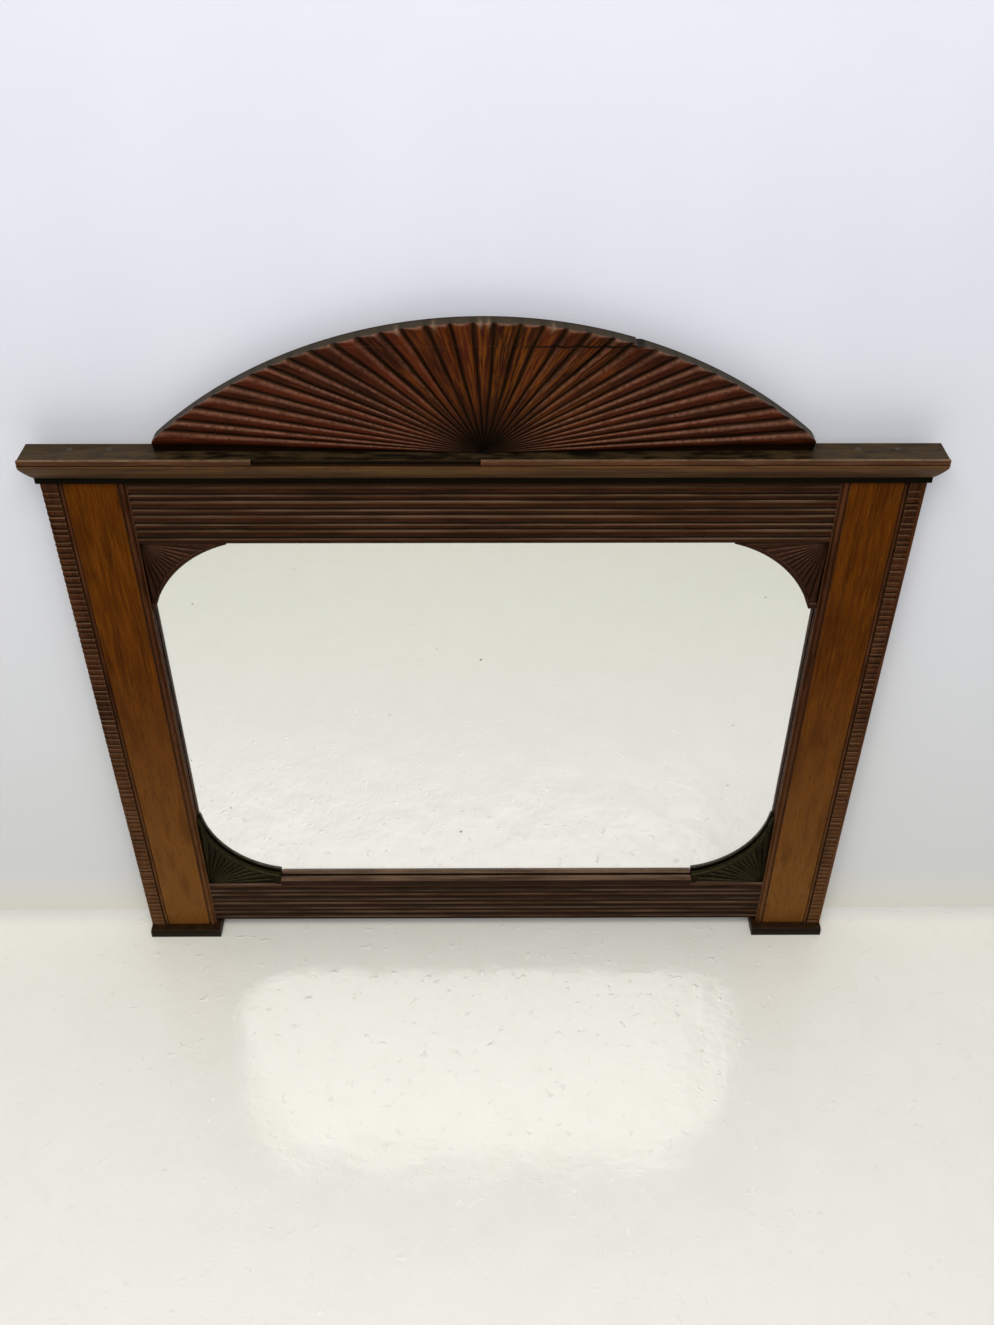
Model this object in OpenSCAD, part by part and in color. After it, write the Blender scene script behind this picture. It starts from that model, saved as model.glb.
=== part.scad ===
// Overmantel mirror with a carved sunburst pediment, in a frame of two broad
// posts, two reeded rails and four carved corner fans.
// X runs to the right, Y from the front to the wall and Z up from the floor.
// Inside the modules, Y = 0 is the front of the veneered panels on the posts.

/* [Frame] */
// Width over the two posts
frame_w = 1100; // [1000:10:1200]
// Height from the floor to the top of the cornice
cornice_z = 891; // [860:1:930]
// Thickness of the posts and rails
frame_t = 27; // [26:0.5:32]
// Width of one post's face
post_w = 105; // [98:1:112]

/* [Post facing] */
// Thickness of the veneered panel and of the strips beside it
facing_t = 3; // [2.5:0.5:4]
// Width of the notched strip at the post's outer edge
notched_w = 20; // [16:1:24]
// How far the notched strip stands in front of the panel
notched_proud = 2; // [1.5:0.5:3]
// Distance from one notch to the next
notch_pitch = 9.2; // [8:0.2:12]
// Height of one notch
notch_h = 4.2; // [3:0.2:5]
// Depth of one notch
notch_depth = 1.7; // [1:0.1:2.4]
// Width of the strip that carries the outer bead
outer_bead_w = 7; // [6:0.5:9]
// Width of the strip that carries the inner bead
inner_bead_w = 11.5; // [9:0.5:13]

/* [Feet] */
// Height of a foot
foot_h = 14; // [10:1:20]
// How far a foot stands in front of the panels
foot_front = 15.5; // [10:0.5:22]
// How far a foot runs past the post's inner face
foot_inner = 8; // [2:1:15]
// How far a foot runs past the post's outer face
foot_outer = 0.5; // [0:0.5:5]

/* [Rails] */
// Height of the top rail
top_rail_h = 121.8; // [105:0.2:140]
// Distance from one reed to the next on the top rail
top_pitch = 21.6; // [19:0.2:23]
// Number of reeds on the top rail
top_reeds = 4; // [3:1:4]
// Underside of the bottom rail
bottom_rail_z = 20.2; // [16:0.2:26]
// Distance from one reed to the next on the bottom rail
bottom_pitch = 21; // [19:0.2:23]
// Number of reeds on the bottom rail
bottom_reeds = 4; // [4:1:5]
// Height of the plain edge above them
plain_edge_h = 11.8; // [10.4:0.2:16]
// How far that edge lies behind the panels
plain_edge_y = 2; // [1:0.5:4]
// How far the reeds' crests lie behind the panels
reed_y = 1.5; // [0.5:0.5:3]
// Depth of the hollows between the reeds
reed_depth = 4; // [2:0.5:5]
// Length of a tenon
tenon_l = 38; // [25:1:55]
// Thickness of a tenon
tenon_t = 9; // [7:0.5:10]

/* [Mirror] */
// How far the glass lies behind the panels
reveal = 13; // [11:0.5:15]
// Thickness of the mirror glass
glass_t = 4.5; // [3:0.5:5]
// Width of the rebate that the glass lies in
rebate_w = 7; // [5:0.5:9]
// Width of the slips pinned behind the glass
slip_w = 9.5; // [7:0.5:12]
// Chamfer along a slip's inner edge
slip_chamfer = 4; // [2:0.5:5]

/* [Corner fans] */
// Thickness of a corner fan
fan_t = 8; // [6.5:0.5:10]
// Number of rays on a corner fan
fan_rays = 12; // [8:1:16]
// Depth of the carving between the rays
fan_relief = 2.2; // [1.5:0.1:3]
// Width of a fan's tip on the post
fan_tip = 3.5; // [2:0.5:6]
// Width of the top right fan's tip, which was left broader
broad_tip = 11; // [4:0.5:14]
// How far a bottom fan is let into its rail
fan_drop = 10; // [6:0.5:10]
// Length of a bottom fan along its rail
bottom_fan_along = 116; // [105:1:130]
// Height of a bottom fan
bottom_fan_up = 144; // [130:1:155]
// Height of a bottom fan's end on the rail
bottom_fan_end = 19; // [15:1:25]
// Radius of the hollow edge of a bottom fan
bottom_fan_r = 140; // [125:1:160]
// Length of the top left fan along its rail
top_fan_along = 112; // [100:1:125]
// Length of the top right fan along its rail
top_right_along = 122; // [108:1:135]
// Height of a top fan
top_fan_up = 106; // [95:1:120]
// Height of a top fan's end on the rail
top_fan_end = 2; // [1.5:0.5:6]
// Radius of the hollow edge of a top fan
top_fan_r = 158; // [140:1:175]

/* [Cornice] */
// Thickness of the cornice board
board_t = 11; // [9:0.5:14]
// How far the cornice stands in front of the panels
cornice_front = 19; // [16:0.5:24]
// How far the cornice runs past the posts
cornice_end = 16.5; // [12:0.5:22]
// Height of the moulding under the board
moulding_h = 19; // [16:0.5:24]
// Height of the dark fillet under the moulding
fillet_h = 8; // [5:0.5:10]
// How far that fillet stands in front of the panels
fillet_front = 5; // [3.5:0.5:7]
// Thickness of the lip nailed along the board's front edge
lip_t = 4; // [3:0.5:5]
// Right end of the left-hand lip, where the rest has broken off
lip_left_end = -283; // [-400:1:-150]
// Left end of the right-hand lip
lip_right_end = -4; // [-100:1:100]

/* [Pediment] */
// Length of the pediment at its base
pediment_w = 818; // [780:1:850]
// Height of the pediment
pediment_h = 166; // [150:1:185]
// Radius of its two shoulders
shoulder_r = 25; // [15:1:45]
// Number of carved rays
rays = 33; // [21:2:41]
// Depth of the valleys between the rays
ray_depth = 5.5; // [3:0.5:8]
// Height of the plain strip under the lowest rays
base_strip = 9; // [6:1:12]
// Height of the crest board that is glued on
crest_h = 28; // [22:1:44]
// Width of the open glue line at its right-hand end
crest_gap = 0.9; // [0.3:0.1:1.5]
// How far the pediment's face lies behind the panels
pediment_y = 3; // [1:0.5:6]

/* [Back] */
// Thickness of the boards behind the glass
plank_t = 8; // [6:0.5:12]
// Number of boards behind the glass
planks = 4; // [3:1:4]
// How far those boards lap onto the posts and rails
plank_lap = 24; // [18:1:28]
// Gap between two boards
plank_gap = 0.6; // [0.3:0.1:2]
// Distance of a pediment cleat from the middle
cleat_x = 150; // [120:1:200]
// Width of a pediment cleat
cleat_w = 40; // [30:1:60]
// How far a cleat rises behind the pediment
cleat_rise = 102; // [80:1:115]

/* [Fits] */
// Clearance around a tenon
tenon_gap = 0.15; // [0.1:0.05:0.4]
// Clearance around a peg or a screw
pin_gap = 0.05; // [0.02:0.01:0.2]
// Clearance at the edges of the glass
glass_gap = 1; // [0.5:0.1:2]
// Radius of a tenon peg
peg_r = 4; // [3:0.5:5]
// Radius of a screw's shank
screw_r = 2; // [1.5:0.25:2.5]
// Radius of a screw's head
head_r = 4; // [3.5:0.5:5]
// How far a foot's screws bite into the post
foot_bite = 26; // [18:1:32]
// Length of the screws down through the cornice board
cornice_screw_l = 30; // [24:1:36]

/* [Hidden] */
$fn = 64;
post_out = frame_w / 2;
post_in = post_out - post_w;
overall_t = cornice_front + frame_t + plank_t;
front_shift = cornice_front - overall_t / 2;
board_z = cornice_z - board_t;
moulding_z = board_z - moulding_h;
fillet_z = moulding_z - fillet_h;
ledge_z = board_z + board_t / 2;
ground_y = reed_y + reed_depth;
top_rail_z = board_z - top_rail_h;
bottom_reeds_top = bottom_rail_z + bottom_reeds * bottom_pitch;
bottom_rail_top = bottom_reeds_top + plain_edge_h;
slip_y = reveal + glass_t;
seat_x = post_in + rebate_w;
seat_bottom = bottom_rail_top - rebate_w;
seat_top = top_rail_z + rebate_w;
fan_y = reveal - fan_t;
fan_seat = bottom_rail_top - fan_drop;
tenon_y = (ground_y + frame_t - tenon_t) / 2;
tenon_shoulder = 12;
tenon_top_gap = 25;
top_tenon_end = board_z - tenon_top_gap;
screw_head_h = 2.6;
mill = 1;

// The arch: one flat arc between two small shoulder arcs, in the pediment's own
// plane with the middle of its base as the origin. The radius follows from the rest.
crest_z = pediment_h - crest_h;
half_w = pediment_w / 2;
arch_r = (half_w * half_w - 2 * half_w * shoulder_r + pediment_h * pediment_h)
       / (2 * (pediment_h - shoulder_r));
arch_drop = arch_r - pediment_h;
arch_angle = atan2(half_w - shoulder_r, arch_drop);
shoulder_len = shoulder_r * (90 - arch_angle) * PI / 180;
crown_len = arch_r * 2 * arch_angle * PI / 180;
rim_len = crown_len + 2 * shoulder_len;

// The point on the arch at distance s along it from its right-hand end.
function rim(s) =
    s < shoulder_len
        ? let (a = s / shoulder_r * 180 / PI)
          [half_w - shoulder_r + shoulder_r * cos(a), shoulder_r * sin(a)]
    : s > rim_len - shoulder_len
        ? let (a = (rim_len - s) / shoulder_r * 180 / PI)
          [-half_w + shoulder_r - shoulder_r * cos(a), shoulder_r * sin(a)]
    : let (a = arch_angle - (s - shoulder_len) / arch_r * 180 / PI)
      [arch_r * sin(a), arch_r * cos(a) - arch_drop];

// The distance along the arch at which its right-hand half reaches height z.
function rim_at(z) =
    shoulder_len + arch_r * (arch_angle - acos((z + arch_drop) / arch_r)) * PI / 180;

// How high a convex ray stands, from 0 in the valley to 1 on the crest.
function ray_crest(t) = 1 - pow(abs(2 * t - 1), 3.5);

wood = "#3b2018";
amber = "#6b3f16";
dusty = "#4a4030";
black = "#1c1a17";
pine = "#8a6b45";

// Moves the panels' front plane to its place in the shared frame.
module place() {
    translate([0, front_shift, 0]) children();
}

// Draws a right-hand piece, or mirrors it to the left.
module on_side(side) {
    mirror([side < 0 ? 1 : 0, 0, 0]) children();
}

// A box from its low corner to its high corner.
module box(low, high) {
    translate(low) cube(high - low);
}

// Extrudes an outline in Y and Z along X.
module along_x(x0, x1) {
    translate([x0, 0, 0]) rotate([90, 0, 90]) linear_extrude(x1 - x0) children();
}

// Extrudes an outline in X and Z along Y.
module along_y(y0, y1) {
    translate([0, y1, 0]) rotate([90, 0, 0]) linear_extrude(y1 - y0) children();
}

// A countersunk screw or, with a gap, the hole it needs. It points along +Y.
module screw(length, gap = 0) {
    rotate([-90, 0, 0]) {
        cylinder(h = screw_head_h, r1 = head_r + gap, r2 = screw_r + gap);
        cylinder(h = length + gap, r = screw_r + gap);
    }
}

// The posts and what is glued on them.

peg_x = post_in + tenon_l / 2;
peg_shares = [0.27, 0.73];
top_tenon = [seat_top + tenon_shoulder, top_tenon_end];
bottom_tenon = [bottom_rail_z + tenon_shoulder, seat_bottom - tenon_shoulder];

// The pegs that lock the tenons, on the right-hand side.
module pegs(gap = 0) {
    for (tenon = [top_tenon, bottom_tenon], share = peg_shares, z = tenon[0] + share * (tenon[1] - tenon[0]))
        translate([peg_x, ground_y + mill - gap, z])
            rotate([-90, 0, 0])
                cylinder(h = frame_t - ground_y - mill + 2 * gap, r = peg_r + gap);
}

cornice_screw_x = [post_in + 0.145 * post_w, post_in + 0.61 * post_w];

// The four screws down through the cornice board, on the right-hand side.
module board_screws(gap = 0) {
    for (x = cornice_screw_x)
        translate([x, frame_t / 2, cornice_z])
            rotate([-90, 0, 0]) screw(cornice_screw_l, gap);
}

foot_screw_x = [post_in + 0.5 * post_w, post_in + 0.78 * post_w];

// The screws up through a foot, on the right-hand side.
module sole_screws(gap = 0) {
    for (x = foot_screw_x)
        translate([x, frame_t / 2, 0]) rotate([90, 0, 0]) screw(foot_h + foot_bite, gap);
}

plank_x = post_in + plank_lap;
plank_z0 = seat_bottom - plank_lap;
plank_z1 = seat_top + plank_lap - 3;
plank_h = (plank_z1 - plank_z0 + plank_gap) / planks - plank_gap;
plank_screw_x = post_in + plank_lap / 2;
cleat_z = plank_z1 + 2;

// The screws through the back boards, on the right-hand side.
module plank_screws(gap = 0) {
    for (i = [0:planks - 1], f = [0.22, 0.78])
        translate([plank_screw_x, frame_t + plank_t, plank_z0 + i * (plank_h + plank_gap) + f * plank_h])
            rotate([0, 0, 180]) screw(plank_t + 11, gap);
}

module tenon_socket(tenon) {
    box([post_in - mill, tenon_y - tenon_gap, tenon[0] - tenon_gap],
        [post_in + tenon_l + mill, tenon_y + tenon_t + tenon_gap, tenon[1] + tenon_gap]);
}

module post(side) {
    color(wood) on_side(side) difference() {
        box([post_in, facing_t, foot_h], [post_out, frame_t, board_z]);
        box([post_in - mill, reveal, seat_bottom], [seat_x, frame_t + mill, seat_top]);
        tenon_socket(top_tenon);
        tenon_socket(bottom_tenon);
        pegs(pin_gap);
        board_screws(pin_gap);
        sole_screws(pin_gap);
        plank_screws(pin_gap);
    }
}

module post_panel(side) {
    color(amber) on_side(side)
        box([post_in + inner_bead_w, 0, foot_h],
            [post_out - notched_w - outer_bead_w, facing_t, fillet_z]);
}

// The strip with a ladder of notches cut by hand across its face.
module notched_strip(side) {
    strip_h = fillet_z - foot_h;
    notches = floor((strip_h - 3) / notch_pitch);
    start = foot_h + (strip_h - notches * notch_pitch) / 2 + (notch_pitch - notch_h) / 2;
    face = -notched_proud;
    color(wood) on_side(side) along_x(post_out - notched_w, post_out)
        polygon(concat(
            [[facing_t, foot_h], [face, foot_h]],
            [for (i = [0:notches - 1], p = [[0, 0], [0.22, notch_depth], [0.78, notch_depth], [1, 0]])
                [face + p[1], start + i * notch_pitch + p[0] * notch_h]],
            [[face, fillet_z], [facing_t, fillet_z]]));
}

// A strip with one half-round bead. bead_at is the bead's middle from the strip's low edge.
module bead_strip(x, w, bead_at, bead_r, bead_y) {
    translate([0, 0, foot_h]) linear_extrude(fillet_z - foot_h) {
        translate([x, facing_t / 2]) square([w, facing_t / 2]);
        intersection() {
            translate([x + bead_at, bead_y]) circle(bead_r);
            translate([x, -bead_r]) square([w, bead_r + facing_t]);
        }
    }
}

module outer_bead(side) {
    color(wood) on_side(side)
        bead_strip(post_out - notched_w - outer_bead_w, outer_bead_w, outer_bead_w / 2 - 0.4, 2.3, 1.2);
}

module inner_bead(side) {
    color(wood) on_side(side)
        bead_strip(post_in, inner_bead_w, inner_bead_w / 2, 3, 1);
}

// A foot, with its top front edge rounded over.
module foot(side) {
    round_r = 5.5;
    color(black) on_side(side) difference() {
        along_x(post_in - foot_inner, post_out + foot_outer) {
            translate([-foot_front, 0]) square([foot_front + frame_t + plank_t, foot_h - round_r]);
            translate([round_r - foot_front, 0])
                square([foot_front - round_r + frame_t + plank_t, foot_h]);
            translate([round_r - foot_front, foot_h - round_r]) circle(round_r);
        }
        sole_screws(pin_gap);
    }
}

// The rails.

// The reeded face: in each pitch a small bead, a quirk and a broad reed.
module reeds(z0, count, pitch) {
    small_w = pitch * 0.16;
    broad_w = pitch * 0.27;
    small_rise = reed_depth * 0.8;
    small_r = (small_w * small_w + small_rise * small_rise) / (2 * small_rise);
    broad_r = (broad_w * broad_w + reed_depth * reed_depth) / (2 * reed_depth);
    for (i = [0:count - 1]) {
        translate([ground_y - small_rise + small_r, z0 + (i + 0.215) * pitch]) circle(small_r);
        translate([reed_y + broad_r, z0 + (i + 0.695) * pitch]) circle(broad_r);
    }
}

module rail_tenons(tenon) {
    box([-post_in - tenon_l, tenon_y, tenon[0]], [post_in + tenon_l, tenon_y + tenon_t, tenon[1]]);
}

module cleat_screw_holes(gap) {
    for (side = [-1, 1], f = [0.3, 0.7])
        translate([side * cleat_x, frame_t + plank_t, cleat_z + f * (board_z - plank_z1)])
            rotate([0, 0, 180]) screw(plank_t + 13, gap);
}

module top_rail() {
    reeded_top = top_rail_z + top_reeds * top_pitch;
    color(wood) difference() {
        union() {
            along_x(-post_in, post_in) {
                intersection() {
                    reeds(top_rail_z, top_reeds, top_pitch);
                    translate([0, top_rail_z]) square([reveal, top_reeds * top_pitch]);
                }
                translate([ground_y, top_rail_z])
                    square([reveal - ground_y, board_z - top_rail_z]);
                translate([reveal, seat_top])
                    square([frame_t - reveal, board_z - seat_top]);
                translate([facing_t, reeded_top])
                    square([ground_y - facing_t, board_z - reeded_top]);
            }
            rail_tenons(top_tenon);
        }
        for (side = [-1, 1]) on_side(side) pegs(pin_gap);
        cleat_screw_holes(pin_gap);
    }
}

module bottom_rail() {
    color(wood) difference() {
        union() {
            along_x(-post_in, post_in) {
                intersection() {
                    reeds(bottom_rail_z, bottom_reeds, bottom_pitch);
                    translate([0, bottom_rail_z]) square([reveal, bottom_reeds * bottom_pitch]);
                }
                translate([ground_y, bottom_rail_z])
                    square([reveal - ground_y, bottom_rail_top - bottom_rail_z]);
                translate([plain_edge_y, bottom_reeds_top])
                    square([reveal - plain_edge_y, plain_edge_h]);
                translate([reveal, bottom_rail_z])
                    square([frame_t - reveal, seat_bottom - bottom_rail_z]);
            }
            rail_tenons(bottom_tenon);
        }
        for (side = [-1, 1]) on_side(side) {
            pegs(pin_gap);
            box([post_in - bottom_fan_along, -mill, fan_seat],
                [post_in + mill, reveal, bottom_rail_top + mill]);
        }
    }
}

// The carved boards.

// A carved board as one closed body. rows are rings of [x, z, y] points that run
// outwards, every ring with the same count, and back is the plane behind. With a
// hub the first ring is capped, and without one it stands on a flat foot.
module carved_board(rows, back, hub = true) {
    m = len(rows);
    n = len(rows[0]);
    front = [for (row = rows, p = row) [p[0], p[2], p[1]]];
    rear = [for (row = [rows[0], rows[m - 1]], p = row) [p[0], back, p[1]]];
    inner = m * n;
    outer = m * n + n;
    rim = (m - 1) * n;
    skin = [
        for (k = [0:m - 2], j = [0:n - 2], face = [
            [k * n + j, (k + 1) * n + j + 1, (k + 1) * n + j],
            [k * n + j, k * n + j + 1, (k + 1) * n + j + 1]]) face,
        for (j = [0:n - 2], face = [
            [rim + j, outer + j + 1, outer + j],
            [rim + j, rim + j + 1, outer + j + 1],
            [inner + j, outer + j, outer + j + 1],
            [inner + j, outer + j + 1, inner + j + 1]]) face,
        for (k = [0:m - 2], face = [
            [inner, k * n, (k + 1) * n],
            [inner + n - 1, (k + 1) * n + n - 1, k * n + n - 1]]) face,
        [inner, rim, outer],
        [inner + n - 1, outer + n - 1, rim + n - 1]];
    cap = hub
        ? [[for (j = [n - 1:-1:0]) j],
           [for (j = [0:n - 1]) inner + j],
           [n - 1, 0, inner, inner + n - 1]]
        : [for (j = [0:n - 2], face = [
            [j, inner + j, inner + j + 1],
            [j, inner + j + 1, j + 1]]) face];
    polyhedron(concat(front, rear), concat(skin, cap), convexity = 8);
}

// The rays lie between the plain strips at the two ends of the rim. Across one
// ray the samples lie closer together in the valley.
ray_steps = [0, 0.07, 0.19, 0.34, 0.5, 0.66, 0.81, 0.93];
ray_pitch = (rim_len - 2 * base_strip) / rays;
ray_samples = concat(
    [for (i = [0:rays - 1], t = ray_steps) base_strip + (i + t) * ray_pitch],
    [rim_len - base_strip]);

// How high the sunburst stands at distance s along the rim, from 0 to 1.
function sunburst_crest(s) =
    let (q = (s - base_strip) / ray_pitch)
    q <= 0 || q >= rays ? 0 : ray_crest(q - floor(q));

// The point of the sunburst at a share u of the way out to distance s along the rim.
function sunburst_point(s, u) =
    let (p = rim(s) * u)
    [p[0], p[1], pediment_y + ray_depth * (1 - sunburst_crest(s)) * pow(min(1, u * 1.25), 0.8)];

right_corner = rim_at(crest_z);
left_corner = rim_len - right_corner;

// Both boards have a sample where the glue line meets the arch.
fan_samples = concat(
    [0],
    [for (s = ray_samples) if (s < right_corner - 0.5) s],
    [right_corner],
    [for (s = ray_samples) if (s > right_corner + 0.5 && s < left_corner - 0.5) s],
    [left_corner],
    [for (s = ray_samples) if (s > left_corner + 0.5) s],
    [rim_len]);

module pediment_fan() {
    shares = [0.03, 0.12, 0.32, 0.62, 1];
    rows = [for (share = shares)
        [for (s = fan_samples)
            let (u = share * min(1, crest_z / max(rim(s)[1], 0.001)))
            sunburst_point(s, u)]];
    color(wood) translate([0, 0, cornice_z]) carved_board(rows, frame_t);
}

// The glue line stays shut on the left and opens towards the right.
glue_open_x = 20;
function crest_foot(x) = crest_z + crest_gap * max(0, (x - glue_open_x) / half_w * 2);

module pediment_crest() {
    right_end = rim_at(crest_z + crest_gap + 1);
    left_end = rim_len - rim_at(crest_z + 0.8);
    samples = concat(
        [right_end],
        [for (s = ray_samples) if (s > right_end + 1 && s < left_end - 1) s],
        [left_end]);
    rows = [
        [for (s = samples) sunburst_point(s, crest_foot(rim(s)[0]) / rim(s)[1])],
        [for (s = samples) sunburst_point(s, (1 + crest_foot(rim(s)[0]) / rim(s)[1]) / 2)],
        [for (s = samples) sunburst_point(s, 1)]];
    color(wood) translate([0, 0, cornice_z]) carved_board(rows, frame_t, hub = false);
}

// The middle of the hollow edge, which runs at radius r from the fan's end on the
// rail to its tip on the post.
function hollow_middle(along, up, end, tip, r) =
    let (
        run = [tip - along, up - end],
        half_chord = norm(run) / 2)
    [along + tip, up + end] / 2
        + [run[1], -run[0]] / norm(run) * sqrt(r * r - half_chord * half_chord);

// How far a corner fan reaches from its outer corner at an angle from the rail.
function fan_reach(a, middle, along, up, r) =
    let (
        b = middle * [cos(a), sin(a)],
        d = b * b - (middle * middle - r * r),
        end = min(along / max(cos(a), 0.001), up / max(sin(a), 0.001)))
    d > 0 ? min(end, b - sqrt(d)) : end;

// A corner fan in its own plane: X away from the post and Z away from the rail.
module fan_body(along, up, end, tip, r) {
    steps = [0, 0.12, 0.3, 0.5, 0.7, 0.88];
    samples = concat([for (i = [0:fan_rays - 1], t = steps) (i + t) / fan_rays], [1]);
    middle = hollow_middle(along, up, end, tip, r);
    inner = [for (share = [0.025, 0.4, 1])
        [for (q = samples)
            let (
                a = q * 90,
                reach = fan_reach(a, middle, along, up, r) * 0.93 - 3,
                phase = q * fan_rays - floor(q * fan_rays),
                depth = fan_relief * (1 - ray_crest(phase)) * min(1, share * 1.6))
            [reach * share * cos(a), reach * share * sin(a), fan_y + 0.6 + depth]]];
    edge = [for (step = [[0.95, -2, 0], [0.99, -1, 0], [1, 0, 1.4]])
        [for (q = samples)
            let (
                a = q * 90,
                reach = fan_reach(a, middle, along, up, r) * step[0] + step[1])
            [reach * cos(a), reach * sin(a), fan_y + step[2]]]];
    carved_board(concat(inner, edge), reveal);
}

module corner_fan_bottom(side) {
    color(dusty) on_side(side) translate([post_in, 0, fan_seat]) mirror([1, 0, 0])
        fan_body(bottom_fan_along, bottom_fan_up, bottom_fan_end, fan_tip, bottom_fan_r);
}

module corner_fan_top(side, along, tip) {
    color(wood) on_side(side) translate([post_in, 0, top_rail_z])
        mirror([1, 0, 0]) mirror([0, 0, 1])
            fan_body(along, top_fan_up, top_fan_end, tip, top_fan_r);
}

// The glass, the slips behind it and the back.

// A bottom slip, mitred at both ends. It is turned for the other three sides.
module slip_run(half) {
    intersection() {
        along_x(-half, half)
            polygon([[slip_y, 0], [slip_y, slip_w], [frame_t - slip_chamfer, slip_w],
                [frame_t, slip_w - slip_chamfer], [frame_t, 0]]);
        along_y(slip_y, frame_t)
            polygon([[-half, 0], [half, 0], [half - slip_w, slip_w], [slip_w - half, slip_w]]);
    }
}

module slip_side(side) {
    half = (seat_top - seat_bottom) / 2;
    color(pine) on_side(side)
        translate([seat_x, 0, (seat_top + seat_bottom) / 2]) rotate([0, -90, 0]) slip_run(half);
}

module slip_bottom() {
    color(pine) translate([0, 0, seat_bottom]) slip_run(seat_x);
}

module slip_top() {
    color(pine) translate([0, 0, seat_top]) mirror([0, 0, 1]) slip_run(seat_x);
}

module mirror_glass() {
    color("#dfe3dc")
        box([glass_gap - seat_x, reveal, seat_bottom + glass_gap],
            [seat_x - glass_gap, slip_y, seat_top - glass_gap]);
}

module back_board(i) {
    z = plank_z0 + i * (plank_h + plank_gap);
    color(pine) difference() {
        box([-plank_x, frame_t, z], [plank_x, frame_t + plank_t, z + plank_h]);
        for (side = [-1, 1]) on_side(side) plank_screws(pin_gap);
    }
}

// The cornice.

module cornice_board() {
    color(dusty) difference() {
        box([-post_out - cornice_end, lip_t + 0.5 - cornice_front, board_z],
            [post_out + cornice_end, frame_t, cornice_z]);
        for (side = [-1, 1]) on_side(side) board_screws(pin_gap);
    }
}

// The moulding's face in steps from its foot up to its top edge: a straight splay
// with a slight swell.
swell = 0.18;
function ovolo(x0, x1, z0, z1) =
    [for (a = [0:10:90]) [x0 + (x1 - x0) * (swell * sin(a) + (1 - swell) * a / 90),
                          z0 + (z1 - z0) * (swell * (1 - cos(a)) + (1 - swell) * a / 90)]];

module moulding_section() {
    back_of_lip = cornice_front - lip_t - 0.5;
    face = concat([[facing_t, moulding_z]],
        [for (p = ovolo(fillet_front, cornice_front, moulding_z, board_z + board_t * 0.32)) [-p[0], p[1]]],
        [[-cornice_front, ledge_z], [-back_of_lip, ledge_z], [-back_of_lip, board_z], [facing_t, board_z]]);
    polygon(face);
}

// The outline of the cornice seen from the front, below the board's top.
module cornice_outline() {
    out = post_out + cornice_end;
    right = concat(ovolo(post_out + fillet_front - 0.5, out, moulding_z, board_z), [[out, cornice_z]]);
    polygon(concat(right, [for (i = [len(right) - 1:-1:0]) [-right[i][0], right[i][1]]]));
}

module cornice_moulding() {
    color(amber) intersection() {
        along_x(-post_out - cornice_end, post_out + cornice_end) moulding_section();
        along_y(-cornice_front - mill, facing_t) cornice_outline();
    }
}

module cornice_return(side) {
    color(wood) on_side(side) intersection() {
        along_y(facing_t, frame_t) cornice_outline();
        box([post_out, facing_t, moulding_z], [post_out + cornice_end, frame_t, board_z]);
    }
}

module cornice_lip(x0, x1) {
    color(dusty)
        box([x0, 0.5 - cornice_front, ledge_z], [x1, lip_t + 0.5 - cornice_front, cornice_z + 1]);
}

module under_fillet() {
    out = post_out + fillet_front - 0.5;
    color(black)
        box([-out, -fillet_front, fillet_z], [out, facing_t, moulding_z]);
}

module under_fillet_end(side) {
    color(black) on_side(side)
        box([post_out, facing_t, fillet_z], [post_out + fillet_front - 0.5, frame_t, moulding_z]);
}

// Behind the pediment, and the fasteners.

module pediment_cleat(side) {
    color(pine) on_side(side) difference() {
        box([cleat_x - cleat_w / 2, frame_t, cleat_z],
            [cleat_x + cleat_w / 2, frame_t + plank_t, cornice_z + cleat_rise]);
        cleat_screw_holes(pin_gap);
    }
}

module tenon_pegs() {
    color(wood) for (side = [-1, 1]) on_side(side) pegs();
}

module cornice_screws() {
    color("#5a4a38") for (side = [-1, 1]) on_side(side) board_screws();
}

module back_screws() {
    color("#5a5a58") for (side = [-1, 1]) on_side(side) plank_screws();
}

module cleat_screws() {
    color("#5a5a58") cleat_screw_holes(0);
}

module foot_screws() {
    color("#5a5a58") for (side = [-1, 1]) on_side(side) sole_screws();
}

place() post(-1);  // post_left
place() post(1);  // post_right
place() post_panel(-1);  // post_panel_left
place() post_panel(1);  // post_panel_right
place() notched_strip(-1);  // notched_strip_left
place() notched_strip(1);  // notched_strip_right
place() outer_bead(-1);  // outer_bead_left
place() outer_bead(1);  // outer_bead_right
place() inner_bead(-1);  // inner_bead_left
place() inner_bead(1);  // inner_bead_right
place() foot(-1);  // foot_left
place() foot(1);  // foot_right
place() top_rail();
place() bottom_rail();
place() corner_fan_top(-1, top_fan_along, fan_tip);  // corner_fan_top_left
place() corner_fan_top(1, top_right_along, broad_tip);  // corner_fan_top_right
place() corner_fan_bottom(-1);  // corner_fan_bottom_left
place() corner_fan_bottom(1);  // corner_fan_bottom_right
place() slip_side(-1);  // slip_left
place() slip_side(1);  // slip_right
place() slip_top();
place() slip_bottom();
place() mirror_glass();
place() back_board(0);  // back_board_1
place() back_board(1);  // back_board_2
place() back_board(2);  // back_board_3
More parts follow.
